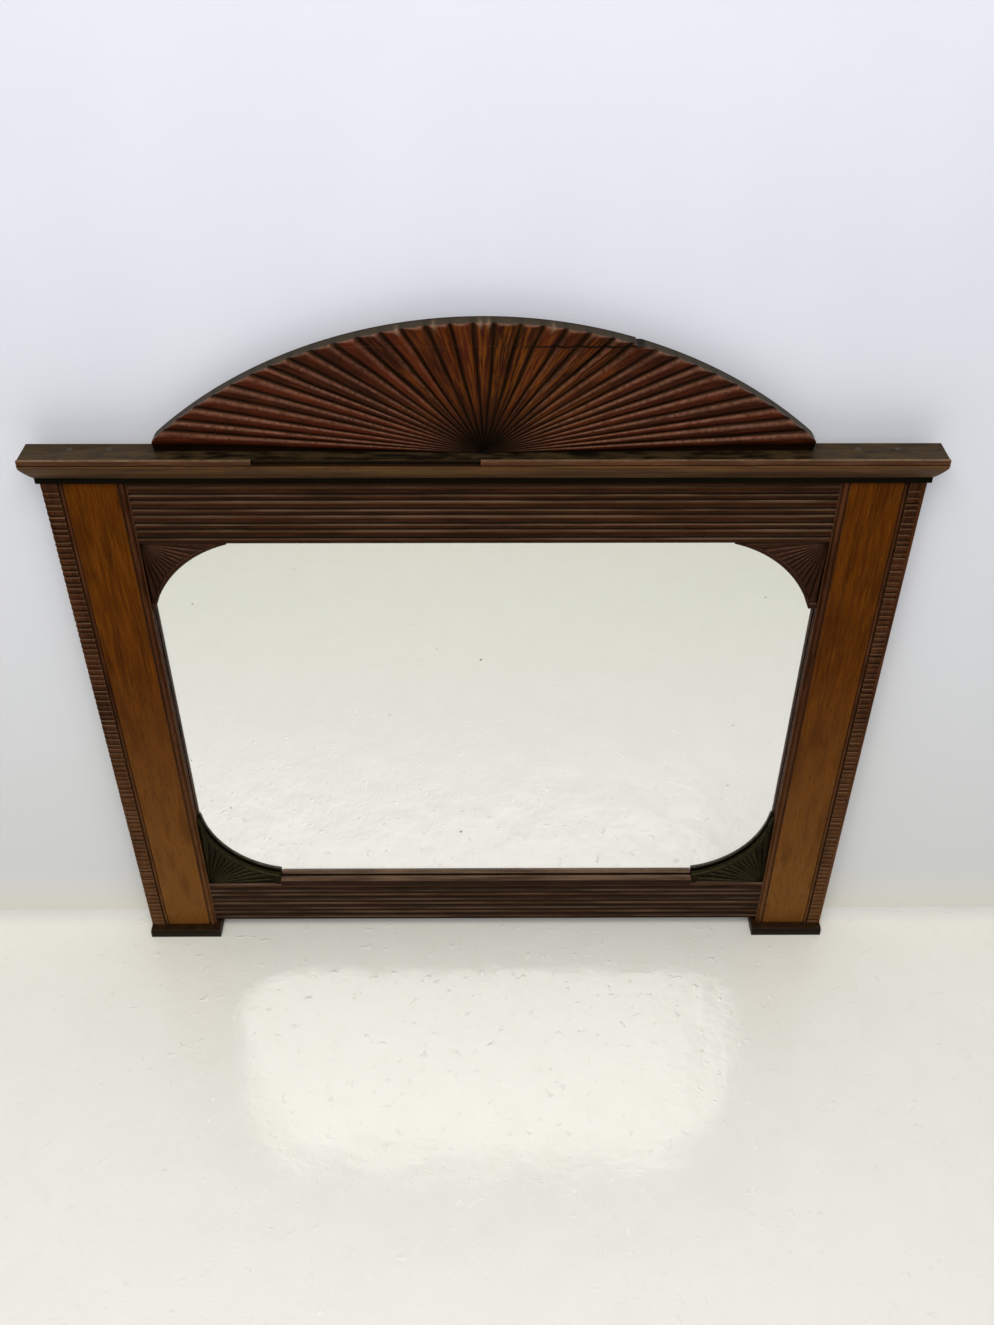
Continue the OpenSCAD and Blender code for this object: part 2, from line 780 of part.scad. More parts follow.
/* back_board_4 */ place() if (planks > 3) back_board(3);
place() cornice_board();
place() cornice_moulding();
place() cornice_return(-1);  // cornice_return_left
place() cornice_return(1);  // cornice_return_right
place() cornice_lip(-post_out - cornice_end, lip_left_end);  // cornice_lip_left
place() cornice_lip(lip_right_end, post_out + cornice_end);  // cornice_lip_right
place() under_fillet();
place() under_fillet_end(-1);  // under_fillet_left
place() under_fillet_end(1);  // under_fillet_right
place() pediment_fan();
place() pediment_crest();
place() pediment_cleat(-1);  // pediment_cleat_left
place() pediment_cleat(1);  // pediment_cleat_right
place() tenon_pegs();
place() cornice_screws();
place() back_screws();
place() cleat_screws();
place() foot_screws();
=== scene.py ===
import math
import random

import bpy
from mathutils import Matrix, Vector, noise


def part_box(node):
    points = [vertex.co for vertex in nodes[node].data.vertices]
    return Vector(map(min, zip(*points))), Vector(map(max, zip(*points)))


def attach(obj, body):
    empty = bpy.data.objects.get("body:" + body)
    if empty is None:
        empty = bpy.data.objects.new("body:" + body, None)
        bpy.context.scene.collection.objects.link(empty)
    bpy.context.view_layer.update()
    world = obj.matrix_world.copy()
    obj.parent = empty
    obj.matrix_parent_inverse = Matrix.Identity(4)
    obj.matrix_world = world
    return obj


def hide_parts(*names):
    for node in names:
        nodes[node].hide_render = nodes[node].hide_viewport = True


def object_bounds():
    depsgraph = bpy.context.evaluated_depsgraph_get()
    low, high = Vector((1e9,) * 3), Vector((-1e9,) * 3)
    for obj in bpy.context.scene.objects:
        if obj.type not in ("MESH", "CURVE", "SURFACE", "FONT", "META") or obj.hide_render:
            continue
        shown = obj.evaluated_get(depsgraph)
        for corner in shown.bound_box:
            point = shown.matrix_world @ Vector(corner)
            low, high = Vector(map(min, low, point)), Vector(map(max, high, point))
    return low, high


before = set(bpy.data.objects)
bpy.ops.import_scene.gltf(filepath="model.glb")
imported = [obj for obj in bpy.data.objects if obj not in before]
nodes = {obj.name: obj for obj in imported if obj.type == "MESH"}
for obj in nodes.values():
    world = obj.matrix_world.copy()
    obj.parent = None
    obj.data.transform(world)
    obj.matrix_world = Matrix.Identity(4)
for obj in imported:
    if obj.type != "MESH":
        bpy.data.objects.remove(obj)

cadLow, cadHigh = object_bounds()
scene = bpy.context.scene
millimetre = 0.001


# Colours are written as sRGB codes, and the shaders need them linear.
def linearColour(code):
    channels = [int(code[start:start + 2], 16) / 255 for start in (1, 3, 5)]
    return tuple(
        value / 12.92 if value <= 0.04045 else ((value + 0.055) / 1.055) ** 2.4
        for value in channels) + (1.0,)


# Adds one node. A setting is an input's name or number, or else a property of the node.
def add(tree, kind, settings=None, links=None):
    node = tree.nodes.new(kind)
    for key, value in (settings or {}).items():
        if isinstance(key, int) or key in node.inputs:
            node.inputs[key].default_value = value
        else:
            setattr(node, key, value)
    for key, socket in (links or {}).items():
        tree.links.new(socket, node.inputs[key])
    return node


def newMaterial(name):
    material = bpy.data.materials.new(name)
    material.use_nodes = True
    tree = material.node_tree
    return material, tree, tree.nodes["Principled BSDF"]


def newObject(name, data):
    thing = bpy.data.objects.new(name, data)
    scene.collection.objects.link(thing)
    return thing


# Object coordinates, divided by the size of the pattern along each axis in metres.
def patternSpace(tree, size):
    place = add(tree, "ShaderNodeTexCoord")
    stretch = add(tree, "ShaderNodeMapping", {"Scale": [1 / length for length in size]},
                  {"Vector": place.outputs["Object"]})
    return stretch.outputs["Vector"]


# One object coordinate, in metres from the middle of the mirror's foot on the floor.
def placeAlong(tree, axis):
    place = add(tree, "ShaderNodeTexCoord")
    axes = add(tree, "ShaderNodeSeparateXYZ", {}, {0: place.outputs["Object"]})
    return axes.outputs[axis]


# How far a surface faces up: 1 on a level top, 0 on an upright face, -1 underneath.
def facingUp(tree):
    facing = add(tree, "ShaderNodeNewGeometry")
    axes = add(tree, "ShaderNodeSeparateXYZ", {}, {0: facing.outputs["Normal"]})
    return axes.outputs["Z"]


# The figure is the broad light and dark of the board, the streak its fine grain,
# and the pores are short dark dashes along the grain.
def grainFields(tree, sizes):
    figure = add(tree, "ShaderNodeTexNoise", {"Scale": 1.0, "Detail": 3.0, "Distortion": 0.8},
                 {"Vector": patternSpace(tree, sizes["figure"])})
    streak = add(tree, "ShaderNodeTexNoise", {"Scale": 1.0, "Detail": 5.0, "Roughness": 0.65},
                 {"Vector": patternSpace(tree, sizes["streak"])})
    pores = add(tree, "ShaderNodeTexNoise", {"Scale": 1.0, "Detail": 1.0},
                {"Vector": patternSpace(tree, sizes["pores"])})
    poreMask = add(tree, "ShaderNodeMapRange", {"From Min": 0.62, "From Max": 0.72},
                   {"Value": pores.outputs["Fac"]})
    return figure.outputs["Fac"], streak.outputs["Fac"], poreMask.outputs["Result"]


# Grime and painted shade lie in the recesses, and the arrises are rubbed pale.
def shadeAndWearFields(tree, reach):
    recess = add(tree, "ShaderNodeAmbientOcclusion", {"samples": 5, "Distance": reach * 3})
    grimeAndShade = add(tree, "ShaderNodeMapRange", {"From Min": 0.85, "From Max": 0.4},
                {"Value": recess.outputs["AO"]})
    arris = add(tree, "ShaderNodeAmbientOcclusion",
                {"samples": 5, "inside": True, "only_local": True, "Distance": reach})
    rubbed = add(tree, "ShaderNodeMapRange", {"From Min": 0.7, "From Max": 0.3},
                 {"Value": arris.outputs["AO"]})
    return grimeAndShade.outputs["Result"], rubbed.outputs["Result"]


# Runs from 0 to 1 between two places along an axis. X counts out from the middle to both
# sides, and Z up from the floor, in metres.
def spanField(tree, axis, start, end):
    outward = add(tree, "ShaderNodeMath", {"operation": "ABSOLUTE"}, {0: placeAlong(tree, axis)})
    share = add(tree, "ShaderNodeMapRange", {"From Min": start, "From Max": end},
                {"Value": outward.outputs["Value"]})
    return share.outputs["Result"]


# Dirt in a level joint: a thin dark line at one height, fading out over its reach.
def jointField(tree, height, reach):
    offset = add(tree, "ShaderNodeMath", {"operation": "SUBTRACT", 1: height}, {0: placeAlong(tree, "Z")})
    distance = add(tree, "ShaderNodeMath", {"operation": "ABSOLUTE"}, {0: offset.outputs["Value"]})
    line = add(tree, "ShaderNodeMapRange", {"From Min": reach, "From Max": reach * 0.4},
               {"Value": distance.outputs["Value"]})
    return line.outputs["Result"]


# Painted shade: what faces down is darkened.
def undersideShade(tree):
    under = add(tree, "ShaderNodeMapRange", {"From Min": -0.1, "From Max": -0.55},
                {"Value": facingUp(tree)})
    return under.outputs["Result"]


# Dust settles on what faces up, in uneven patches, and the same mask lightens what faces up as painted light
# from above.
def dustAndToplightField(tree, steepest, patch, least):
    level = add(tree, "ShaderNodeMapRange", {"From Min": steepest, "From Max": 1.0},
                {"Value": facingUp(tree)})
    patches = add(tree, "ShaderNodeTexNoise", {"Scale": 1.0, "Detail": 5.0},
                  {"Vector": patternSpace(tree, patch)})
    uneven = add(tree, "ShaderNodeMapRange", {"From Min": 0.4, "From Max": 0.62, "To Min": least},
                 {"Value": patches.outputs["Fac"]})
    dustAndToplight = add(tree, "ShaderNodeMath", {"operation": "MULTIPLY"},
               {0: level.outputs["Result"], 1: uneven.outputs["Result"]})
    return dustAndToplight.outputs["Value"]


# Lays one colour over what is below it, as far as the amount goes.
def layer(tree, below, amount, colour, strength):
    share = add(tree, "ShaderNodeMath", {"operation": "MULTIPLY", 1: strength}, {0: amount})
    mixed = add(tree, "ShaderNodeMix", {"data_type": "RGBA", 7: linearColour(colour)},
                {0: share.outputs["Value"], 6: below})
    return mixed.outputs[2]


# Old shellac has yellowed, so what it mirrors is faint and warm.
def setPolish(shader, look):
    shader.inputs["IOR"].default_value = 1.5
    shader.inputs["Specular IOR Level"].default_value = look["gloss"]
    shader.inputs["Specular Tint"].default_value = linearColour(look["glossTint"])


# How strongly the layers of shellacked wood show, and how its shine and relief vary.
boardFinish = {
    "fadeAndReflectionShare": 0.8, "poreShare": 0.6, "jointShare": 0.85, "jointReach": 1.2 * millimetre,
    "smoothest": -0.08, "roughest": 0.12, "dustDulls": 0.2, "reliefDepth": 0.4 * millimetre,
}


# A board of stained and shellacked wood. The layers go on as they did on the real
# board, with painted light and shade among them: the wood's own colour, its pores, painted shade on what
# faces down, grime and painted shade in the hollows, rubbed arrises, dust and painted light on what faces
# up.
def shellackedWood(name, look):
    material, tree, shader = newMaterial(name)
    figure, streak, pores = grainFields(tree, look["grain"])
    tone = add(tree, "ShaderNodeMapRange", {"From Min": 0.32, "From Max": 0.66}, {"Value": figure})
    base = add(tree, "ShaderNodeMix", {
        "data_type": "RGBA", 6: linearColour(look["dark"]), 7: linearColour(look["light"])},
        {0: tone.outputs["Result"]})
    colour = base.outputs[2]
    # A colour graded along one axis; on the cornice's top it is painted reflection.
    if "fadeAndReflection" in look:
        fadeAndReflectionSpan = spanField(tree, look["fadeAndReflectionAxis"], look["fadeAndReflectionFrom"], look["fadeAndReflectionTo"])
        colour = layer(tree, colour, fadeAndReflectionSpan, look["fadeAndReflection"], boardFinish["fadeAndReflectionShare"])
    fine = add(tree, "ShaderNodeMapRange", {"From Min": 0.42, "From Max": 0.68}, {"Value": streak})
    colour = layer(tree, colour, fine.outputs["Result"], look["streak"], look["streakShare"])
    colour = layer(tree, colour, pores, look["pore"], boardFinish["poreShare"])
    stains = add(tree, "ShaderNodeTexNoise", {"Scale": 1.0, "Detail": 3.0},
                 {"Vector": patternSpace(tree, look["stainSize"])})
    stained = add(tree, "ShaderNodeMapRange", {"From Min": 0.48, "From Max": 0.7},
                  {"Value": stains.outputs["Fac"]})
    colour = layer(tree, colour, stained.outputs["Result"], look["stain"], look["stainShare"])
    grimeAndShade, rubbed = shadeAndWearFields(tree, look["wearReach"])
    # Painted shade on what faces down, in the grime colour.
    colour = layer(tree, colour, undersideShade(tree), look["grimeAndShade"], look["underShare"])
    # Grime and painted shade in the recesses.
    colour = layer(tree, colour, grimeAndShade, look["grimeAndShade"], look["grimeAndShadeShare"])
    colour = layer(tree, colour, rubbed, look["rubbed"], look["rubbedShare"])
    # Dust on what faces up, which also lightens those faces as painted light from above.
    dustAndToplight = dustAndToplightField(tree, look["dustAndToplightSlope"], look["dustPatch"], look["dustLeast"])
    colour = layer(tree, colour, dustAndToplight, look["dustAndToplight"], look["dustAndToplightShare"])
    if "jointHeight" in look:
        joint = jointField(tree, look["jointHeight"], boardFinish["jointReach"])
        colour = layer(tree, colour, joint, look["grimeAndShade"], boardFinish["jointShare"])
    tree.links.new(colour, shader.inputs["Base Color"])
    polish = add(tree, "ShaderNodeMapRange", {
        "To Min": look["roughness"] + boardFinish["smoothest"],
        "To Max": look["roughness"] + boardFinish["roughest"]}, {"Value": streak})
    dimmed = add(tree, "ShaderNodeMath", {"operation": "MULTIPLY_ADD", 1: boardFinish["dustDulls"]},
                 {0: dustAndToplight, 2: polish.outputs["Result"]})
    tree.links.new(dimmed.outputs["Value"], shader.inputs["Roughness"])
    height = add(tree, "ShaderNodeMath", {"operation": "SUBTRACT"}, {0: streak, 1: pores})
    bump = add(tree, "ShaderNodeBump", {"Strength": look["bump"], "Distance": boardFinish["reliefDepth"]},
               {"Height": height.outputs["Value"]})
    tree.links.new(bump.outputs["Normal"], shader.inputs["Normal"])
    setPolish(shader, look)
    return material


# The grain's sizes in metres. Pores and streaks are drawn about twice as coarse as
# they are, or the picture would not show them.
alongPost = {
    "figure": (0.008, 0.008, 0.13), "streak": (0.0026, 0.0026, 0.05), "pores": (0.0012, 0.0012, 0.012),
}
alongRail = {
    "figure": (0.18, 0.01, 0.009), "streak": (0.06, 0.0026, 0.0026), "pores": (0.012, 0.0012, 0.0012),
}

# Dust that lies in small even patches, on the pieces whose tops show little.
evenDust = {"dustPatch": (0.012, 0.012, 0.012), "dustLeast": 0.35}

# Mahogany stained nearly black and shellacked by hand: red-brown in the light, lost in the hollows to grime
# and painted shade.
# The rails of it darken towards the floor.
railLook = {
    "dark": "#180b05", "light": "#321a0d", "streak": "#45241a", "streakShare": 0.45, "pore": "#0c0602",
    "stain": "#0e0803", "stainShare": 0.6, "stainSize": (0.07, 0.02, 0.02),
    "grimeAndShade": "#050200", "grimeAndShadeShare": 0.95, "underShare": 0.85, "rubbed": "#6a4836", "rubbedShare": 0.45,
    "dustAndToplight": "#7c6450", "dustAndToplightShare": 0.8, "dustAndToplightSlope": 0.45, "wearReach": 2.6 * millimetre,
    "dustPatch": (0.12, 0.009, 0.009), "dustLeast": 0.3,
    "fadeAndReflection": "#120a05", "fadeAndReflectionAxis": "Z", "fadeAndReflectionFrom": 0.3, "fadeAndReflectionTo": 0.1,
    "roughness": 0.4, "bump": 0.3, "gloss": 0.12, "glossTint": "#ffb070",
}

# The same wood on the posts and their strips, redder where hands and cloths have rubbed it.
postLook = {
    **railLook, "dark": "#2c1408", "light": "#4e2c18", "streak": "#5c3c28",
    "fadeAndReflection": "#6e4828", "fadeAndReflectionAxis": "Z", "fadeAndReflectionFrom": 0.5, "fadeAndReflectionTo": 0.05,
    "rubbed": "#8a6244", "rubbedShare": 0.65, "stainShare": 0.35, "stainSize": (0.02, 0.02, 0.06),
    "underShare": 0.7, "dustAndToplight": "#7a6048", "dustAndToplightSlope": 0.62, "wearReach": 1.5 * millimetre,
    "roughness": 0.5, "gloss": 0.04,
}

# Satinwood veneer, french polished: amber, with upright mottle, and paler low down.
amberLook = {
    "dark": "#3a1902", "light": "#5a2d04", "streak": "#70400d", "streakShare": 0.6, "pore": "#301602",
    "fadeAndReflection": "#7c5225", "fadeAndReflectionAxis": "Z", "fadeAndReflectionFrom": 0.55, "fadeAndReflectionTo": 0.1,
    "stain": "#381a04", "stainShare": 0.45, "stainSize": (0.02, 0.02, 0.09),
    "grimeAndShade": "#200c01", "grimeAndShadeShare": 0.8, "underShare": 0.3, "rubbed": "#8a6238", "rubbedShare": 0.35,
    "dustAndToplight": "#8a6a48", "dustAndToplightShare": 0.3, "dustAndToplightSlope": 0.55, "wearReach": 1.0 * millimetre,
    **evenDust,
    "roughness": 0.36, "bump": 0.15, "gloss": 0.08, "glossTint": "#ff9c40",
}

# Pine stained brown, its varnish worn off along the front: the cornice's moulding.
mouldingLook = {
    "dark": "#4a2b12", "light": "#805a2a", "streak": "#7c4e2b", "streakShare": 0.55, "pore": "#1e0e05",
    "stain": "#341a0a", "stainShare": 0.6, "stainSize": (0.12, 0.02, 0.012),
    "grimeAndShade": "#0a0502", "grimeAndShadeShare": 0.9, "underShare": 0.6, "rubbed": "#84603c", "rubbedShare": 0.6,
    "dustAndToplight": "#6a5238", "dustAndToplightShare": 0.3, "dustAndToplightSlope": 0.6, "wearReach": 1.5 * millimetre,
    **evenDust,
    "roughness": 0.42, "bump": 0.35, "gloss": 0.2, "glossTint": "#ffc890",
    "jointHeight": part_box("cornice_lip_left")[0].z,  # the lip's underside lies on the moulding
}

# The lip of the same pine takes the knocks: grey-brown on top, bruised and reddish in front.
lipLook = {
    **mouldingLook, "dark": "#3a2014", "light": "#55351f", "streak": "#6a4a38", "stain": "#26160c",
    "dustAndToplight": "#78634a", "dustAndToplightShare": 0.8, "dustAndToplightSlope": 0.7, "rubbed": "#8a6a50", "bump": 0.6,
}

# The cornice board's top, under old thick varnish: nearly black and glossy, greyed at the ends; the black
# middle is partly painted reflection of the dark pediment, and the greyed ends are painted reflection of the
# pale wall.
boardTopLook = {
    "dark": "#0c0a06", "light": "#15120b", "streak": "#1b150d", "streakShare": 0.5, "pore": "#0a0703",
    # Painted reflection: the ends are greyed as the pale wall would show in the varnish.
    "fadeAndReflection": "#3a2c19", "fadeAndReflectionAxis": "X", "fadeAndReflectionFrom": 0.375, "fadeAndReflectionTo": 0.43,
    "stain": "#191408", "stainShare": 0.7, "stainSize": (0.05, 0.012, 0.012),
    "grimeAndShade": "#050402", "grimeAndShadeShare": 0.9, "underShare": 0.3, "rubbed": "#70543a", "rubbedShare": 0.6,
    "dustAndToplight": "#4e3e28", "dustAndToplightShare": 0.5, "dustAndToplightSlope": 0.9, "wearReach": 1.2 * millimetre,
    "dustPatch": (0.03, 0.008, 0.008), "dustLeast": 0.0,
    "roughness": 0.28, "bump": 0.3, "gloss": 0.08, "glossTint": "#ffc080",
}

# Ebonised beech: nearly black, a little green where it has dried out.
blackLook = {
    "dark": "#100d08", "light": "#1c1812", "streak": "#241608", "streakShare": 0.4, "pore": "#060504",
    "stain": "#0b0d08", "stainShare": 0.5, "stainSize": (0.03, 0.02, 0.01),
    "grimeAndShade": "#030301", "grimeAndShadeShare": 0.8, "underShare": 0.5, "rubbed": "#4a3c2c", "rubbedShare": 0.4,
    "dustAndToplight": "#38220f", "dustAndToplightShare": 0.7, "dustAndToplightSlope": 0.8, "wearReach": 1.2 * millimetre,
    **evenDust,
    "roughness": 0.45, "bump": 0.25, "gloss": 0.1, "glossTint": "#ffe0b0",
}

# The same beech as a fillet under the moulding, never rubbed: all but black, as painted shade for the
# moulding's shadow.
shadedLook = {
    **blackLook, "dark": "#070503", "light": "#0d0a06", "streak": "#120c06",
    "rubbedShare": 0.1, "dustAndToplightShare": 0.1, "roughness": 0.6, "gloss": 0.03,
}

# Sawn pine, bare and darkened by age: dry, with open grain.
pineLook = {
    "dark": "#8a6238", "light": "#a9814f", "streak": "#7a5026", "streakShare": 0.6, "pore": "#4a3018",
    "stain": "#6a4a2a", "stainShare": 0.5, "stainSize": (0.1, 0.05, 0.03),
    "grimeAndShade": "#3a2816", "grimeAndShadeShare": 0.6, "underShare": 0.1, "rubbed": "#b89a6c", "rubbedShare": 0.2,
    "dustAndToplight": "#9a8c74", "dustAndToplightShare": 0.4, "dustAndToplightSlope": 0.6, "wearReach": 1.5 * millimetre,
    **evenDust,
    "roughness": 0.75, "bump": 0.5, "gloss": 0.4, "glossTint": "#ffffff",
}

postWood = shellackedWood("postWood", {**postLook, "grain": alongPost})
railWood = shellackedWood("railWood", {**railLook, "grain": alongRail})
amberVeneer = shellackedWood("amberVeneer", {**amberLook, "grain": alongPost})
mouldingPine = shellackedWood("mouldingPine", {**mouldingLook, "grain": alongRail})
lipPine = shellackedWood("lipPine", {**lipLook, "grain": alongRail})
boardTop = shellackedWood("boardTop", {**boardTopLook, "grain": alongRail})
blackBeech = shellackedWood("blackBeech", {**blackLook, "grain": alongRail})
shadedBeech = shellackedWood("shadedBeech", {**shadedLook, "grain": alongRail})
backingPine = shellackedWood("backingPine", {**pineLook, "grain": alongRail})


# Steel screws, dulled by age: grey-brown and only faintly bright.
steelLook = {"clean": "#6a645a", "rusty": "#3c2a1e", "spot": 0.003, "metallic": 0.9, "roughness": 0.5}


def dullSteel():
    material, tree, shader = newMaterial("dullSteel")
    spots = add(tree, "ShaderNodeTexNoise", {"Scale": 1.0, "Detail": 4.0},
                {"Vector": patternSpace(tree, (steelLook["spot"],) * 3)})
    colour = add(tree, "ShaderNodeMix", {
        "data_type": "RGBA", 6: linearColour(steelLook["clean"]), 7: linearColour(steelLook["rusty"])},
        {0: spots.outputs["Fac"]})
    tree.links.new(colour.outputs[2], shader.inputs["Base Color"])
    shader.inputs["Metallic"].default_value = steelLook["metallic"]
    shader.inputs["Roughness"].default_value = steelLook["roughness"]
    return material


screwSteel = dullSteel()


# What a carved mesh hands over point by point: how near a ray's crest, how far along the rim
# and out from the hub in metres, each ray's own tint, the band over the rim, and chips.
formLabels = ("crest", "along", "out", "tint", "band", "chip")

# How strongly the layers of carved wood show, and how its shine and relief vary.
carvedFinish = {
    "gatheredShare": 0.55, "valleyShare": 0.95, "grimeAndShadeShare": 0.6, "hubShare": 0.97, "rimShare": 0.9,
    "rimBackShare": 0.7, "chipShare": 0.9, "seamShare": 0.9, "scuff": 0.005,
    "smoothest": -0.1, "roughest": 0.2, "bump": 0.4, "reliefDepth": 0.5 * millimetre,
}


# Fine streaks that run out along the rays.
def rayStreaks(tree, form, look):
    polar = add(tree, "ShaderNodeCombineXYZ", {}, {"X": form["along"], "Y": form["out"]})
    stretched = add(tree, "ShaderNodeMapping",
                    {"Scale": (1 / look["streakWidth"], 1 / look["streakLength"], 1)},
                    {"Vector": polar.outputs["Vector"]})
    streak = add(tree, "ShaderNodeTexNoise", {"Scale": 1.0, "Detail": 4.0, "Roughness": 0.6},
                 {"Vector": stretched.outputs["Vector"]})
    return streak.outputs["Fac"]


# Where the finish has worn thin, in the middle, the wood's own gold shows in streaks.
def wornGold(tree, streak, look):
    place = add(tree, "ShaderNodeTexCoord")
    distance = add(tree, "ShaderNodeVectorMath", {"operation": "DISTANCE", 1: look["thinPlace"]},
                   {0: place.outputs["Object"]})
    near = add(tree, "ShaderNodeMapRange", {"From Min": look["thinRadius"], "From Max": 0.02},
               {"Value": distance.outputs["Value"]})
    worn = add(tree, "ShaderNodeMapRange", {"From Min": 0.46, "From Max": 0.58}, {"Value": streak})
    thin = add(tree, "ShaderNodeMath", {"operation": "MULTIPLY"},
               {0: near.outputs["Result"], 1: worn.outputs["Result"]})
    return thin.outputs["Value"]


# The upper flank of each ray, scuffed pale near its crest and lightened where it faces up: painted light
# from above.
def scuffedAndLitFlank(tree, crest, scuffs, look):
    raised = add(tree, "ShaderNodeMapRange", {"From Min": look["ridgeFrom"], "From Max": look["ridgeTo"]},
                 {"Value": facingUp(tree)})
    upper = add(tree, "ShaderNodeMapRange", {"From Min": 0.35, "From Max": 0.7}, {"Value": crest})
    lit = add(tree, "ShaderNodeMath", {"operation": "MULTIPLY"},
              {0: raised.outputs["Result"], 1: upper.outputs["Result"]})
    scuffed = add(tree, "ShaderNodeMapRange", {"From Min": 0.3, "From Max": 0.6}, {"Value": scuffs})
    ridge = add(tree, "ShaderNodeMath", {"operation": "MULTIPLY"},
                {0: lit.outputs["Value"], 1: scuffed.outputs["Result"]})
    return ridge.outputs["Value"]


# The glue line between the pediment's two boards has opened to the right and holds dirt.
def seamField(tree, look):
    opened = add(tree, "ShaderNodeMapRange", {"From Min": 0.01, "From Max": 0.08},
                 {"Value": placeAlong(tree, "X")})
    line = jointField(tree, look["seamHeight"], look["seamReach"])
    dirt = add(tree, "ShaderNodeMath", {"operation": "MULTIPLY"}, {0: line, 1: opened.outputs["Result"]})
    return dirt.outputs["Value"]


# The dark places of the carving: patches where old polish has gathered, and the valleys, which are darkened
# as grime and painted shade.
def blackenCarving(tree, colour, form, patches, look):
    blackened = add(tree, "ShaderNodeMapRange", {"From Min": 0.56, "From Max": 0.72}, {"Value": patches})
    colour = layer(tree, colour, blackened.outputs["Result"], look["valley"], carvedFinish["gatheredShare"])
    # Painted shade, with grime: the valleys darken towards their bottoms.
    low = add(tree, "ShaderNodeMapRange", {"From Min": look["valleyTop"], "From Max": 0.15},
              {"Value": form["crest"]})
    return layer(tree, colour, low.outputs["Result"], look["valley"], carvedFinish["valleyShare"])


# The edge of the board around the carving: greyed, and dark towards the wall.
def colourRim(tree, colour, band, look):
    overRim = add(tree, "ShaderNodeMapRange", {"From Min": 0.03, "From Max": 0.14}, {"Value": band})
    colour = layer(tree, colour, overRim.outputs["Result"], look["rim"], carvedFinish["rimShare"])
    rimBack = add(tree, "ShaderNodeMapRange", {"From Min": 0.8, "From Max": 0.97}, {"Value": band})
    return layer(tree, colour, rimBack.outputs["Result"], look["valley"], carvedFinish["rimBackShare"])


# Wood carved with gouges. Its colour follows the form that the mesh hands over.
def carvedWood(name, look):
    material, tree, shader = newMaterial(name)
    form = {label: add(tree, "ShaderNodeAttribute", {"attribute_name": label}).outputs["Fac"]
            for label in formLabels}
    streak = rayStreaks(tree, form, look)
    patches = add(tree, "ShaderNodeTexNoise", {"Scale": 1.0, "Detail": 4.0, "Roughness": 0.6},
                  {"Vector": patternSpace(tree, look["patch"])}).outputs["Fac"]
    scuffs = add(tree, "ShaderNodeTexNoise", {"Scale": 1.0, "Detail": 5.0, "Roughness": 0.7},
                 {"Vector": patternSpace(tree, (carvedFinish["scuff"],) * 3)}).outputs["Fac"]
    mottle = add(tree, "ShaderNodeMath", {"operation": "ADD"}, {0: patches, 1: form["tint"]})
    tone = add(tree, "ShaderNodeMapRange", {"From Min": 0.55, "From Max": 1.2},
               {"Value": mottle.outputs["Value"]})
    base = add(tree, "ShaderNodeMix", {
        "data_type": "RGBA", 6: linearColour(look["dark"]), 7: linearColour(look["light"])},
        {0: tone.outputs["Result"]})
    grain = add(tree, "ShaderNodeMapRange", {"From Min": 0.5, "From Max": 0.66}, {"Value": streak})
    colour = layer(tree, base.outputs[2], grain.outputs["Result"], look["streak"], look["streakShare"])
    colour = layer(tree, colour, wornGold(tree, streak, look), look["thin"], look["thinShare"])
    colour = blackenCarving(tree, colour, form, patches, look)
    ridge = scuffedAndLitFlank(tree, form["crest"], scuffs, look)
    # Painted highlight: the upper flanks are lightened where they face up, broken by scuffs.
    colour = layer(tree, colour, ridge, look["ridge"], look["ridgeShare"])
    grimeAndShade, rubbed = shadeAndWearFields(tree, look["wearReach"])
    # Grime and painted shade in the recesses, in the valley colour.
    colour = layer(tree, colour, grimeAndShade, look["valley"], carvedFinish["grimeAndShadeShare"])
    colour = layer(tree, colour, rubbed, look["rubbed"], look["rubbedShare"])
    hub = add(tree, "ShaderNodeMapRange",
              {"From Min": look["hubRadius"], "From Max": look["hubRadius"] * 0.25},
              {"Value": form["out"]})
    colour = layer(tree, colour, hub.outputs["Result"], look["hub"], carvedFinish["hubShare"])
    colour = colourRim(tree, colour, form["band"], look)
    colour = layer(tree, colour, form["chip"], look["chip"], carvedFinish["chipShare"])
    if "seamHeight" in look:
        colour = layer(tree, colour, seamField(tree, look), look["hub"], carvedFinish["seamShare"])
    tree.links.new(colour, shader.inputs["Base Color"])
    rough = add(tree, "ShaderNodeMapRange", {
        "To Min": look["roughness"] + carvedFinish["smoothest"],
        "To Max": look["roughness"] + carvedFinish["roughest"]}, {"Value": scuffs})
    tree.links.new(rough.outputs["Result"], shader.inputs["Roughness"])
    relief = add(tree, "ShaderNodeMath", {"operation": "ADD"}, {0: scuffs, 1: streak})
    bump = add(tree, "ShaderNodeBump", {
        "Strength": carvedFinish["bump"], "Distance": carvedFinish["reliefDepth"]},
        {"Height": relief.outputs["Value"]})
    tree.links.new(bump.outputs["Normal"], shader.inputs["Normal"])
    setPolish(shader, look)
    return material


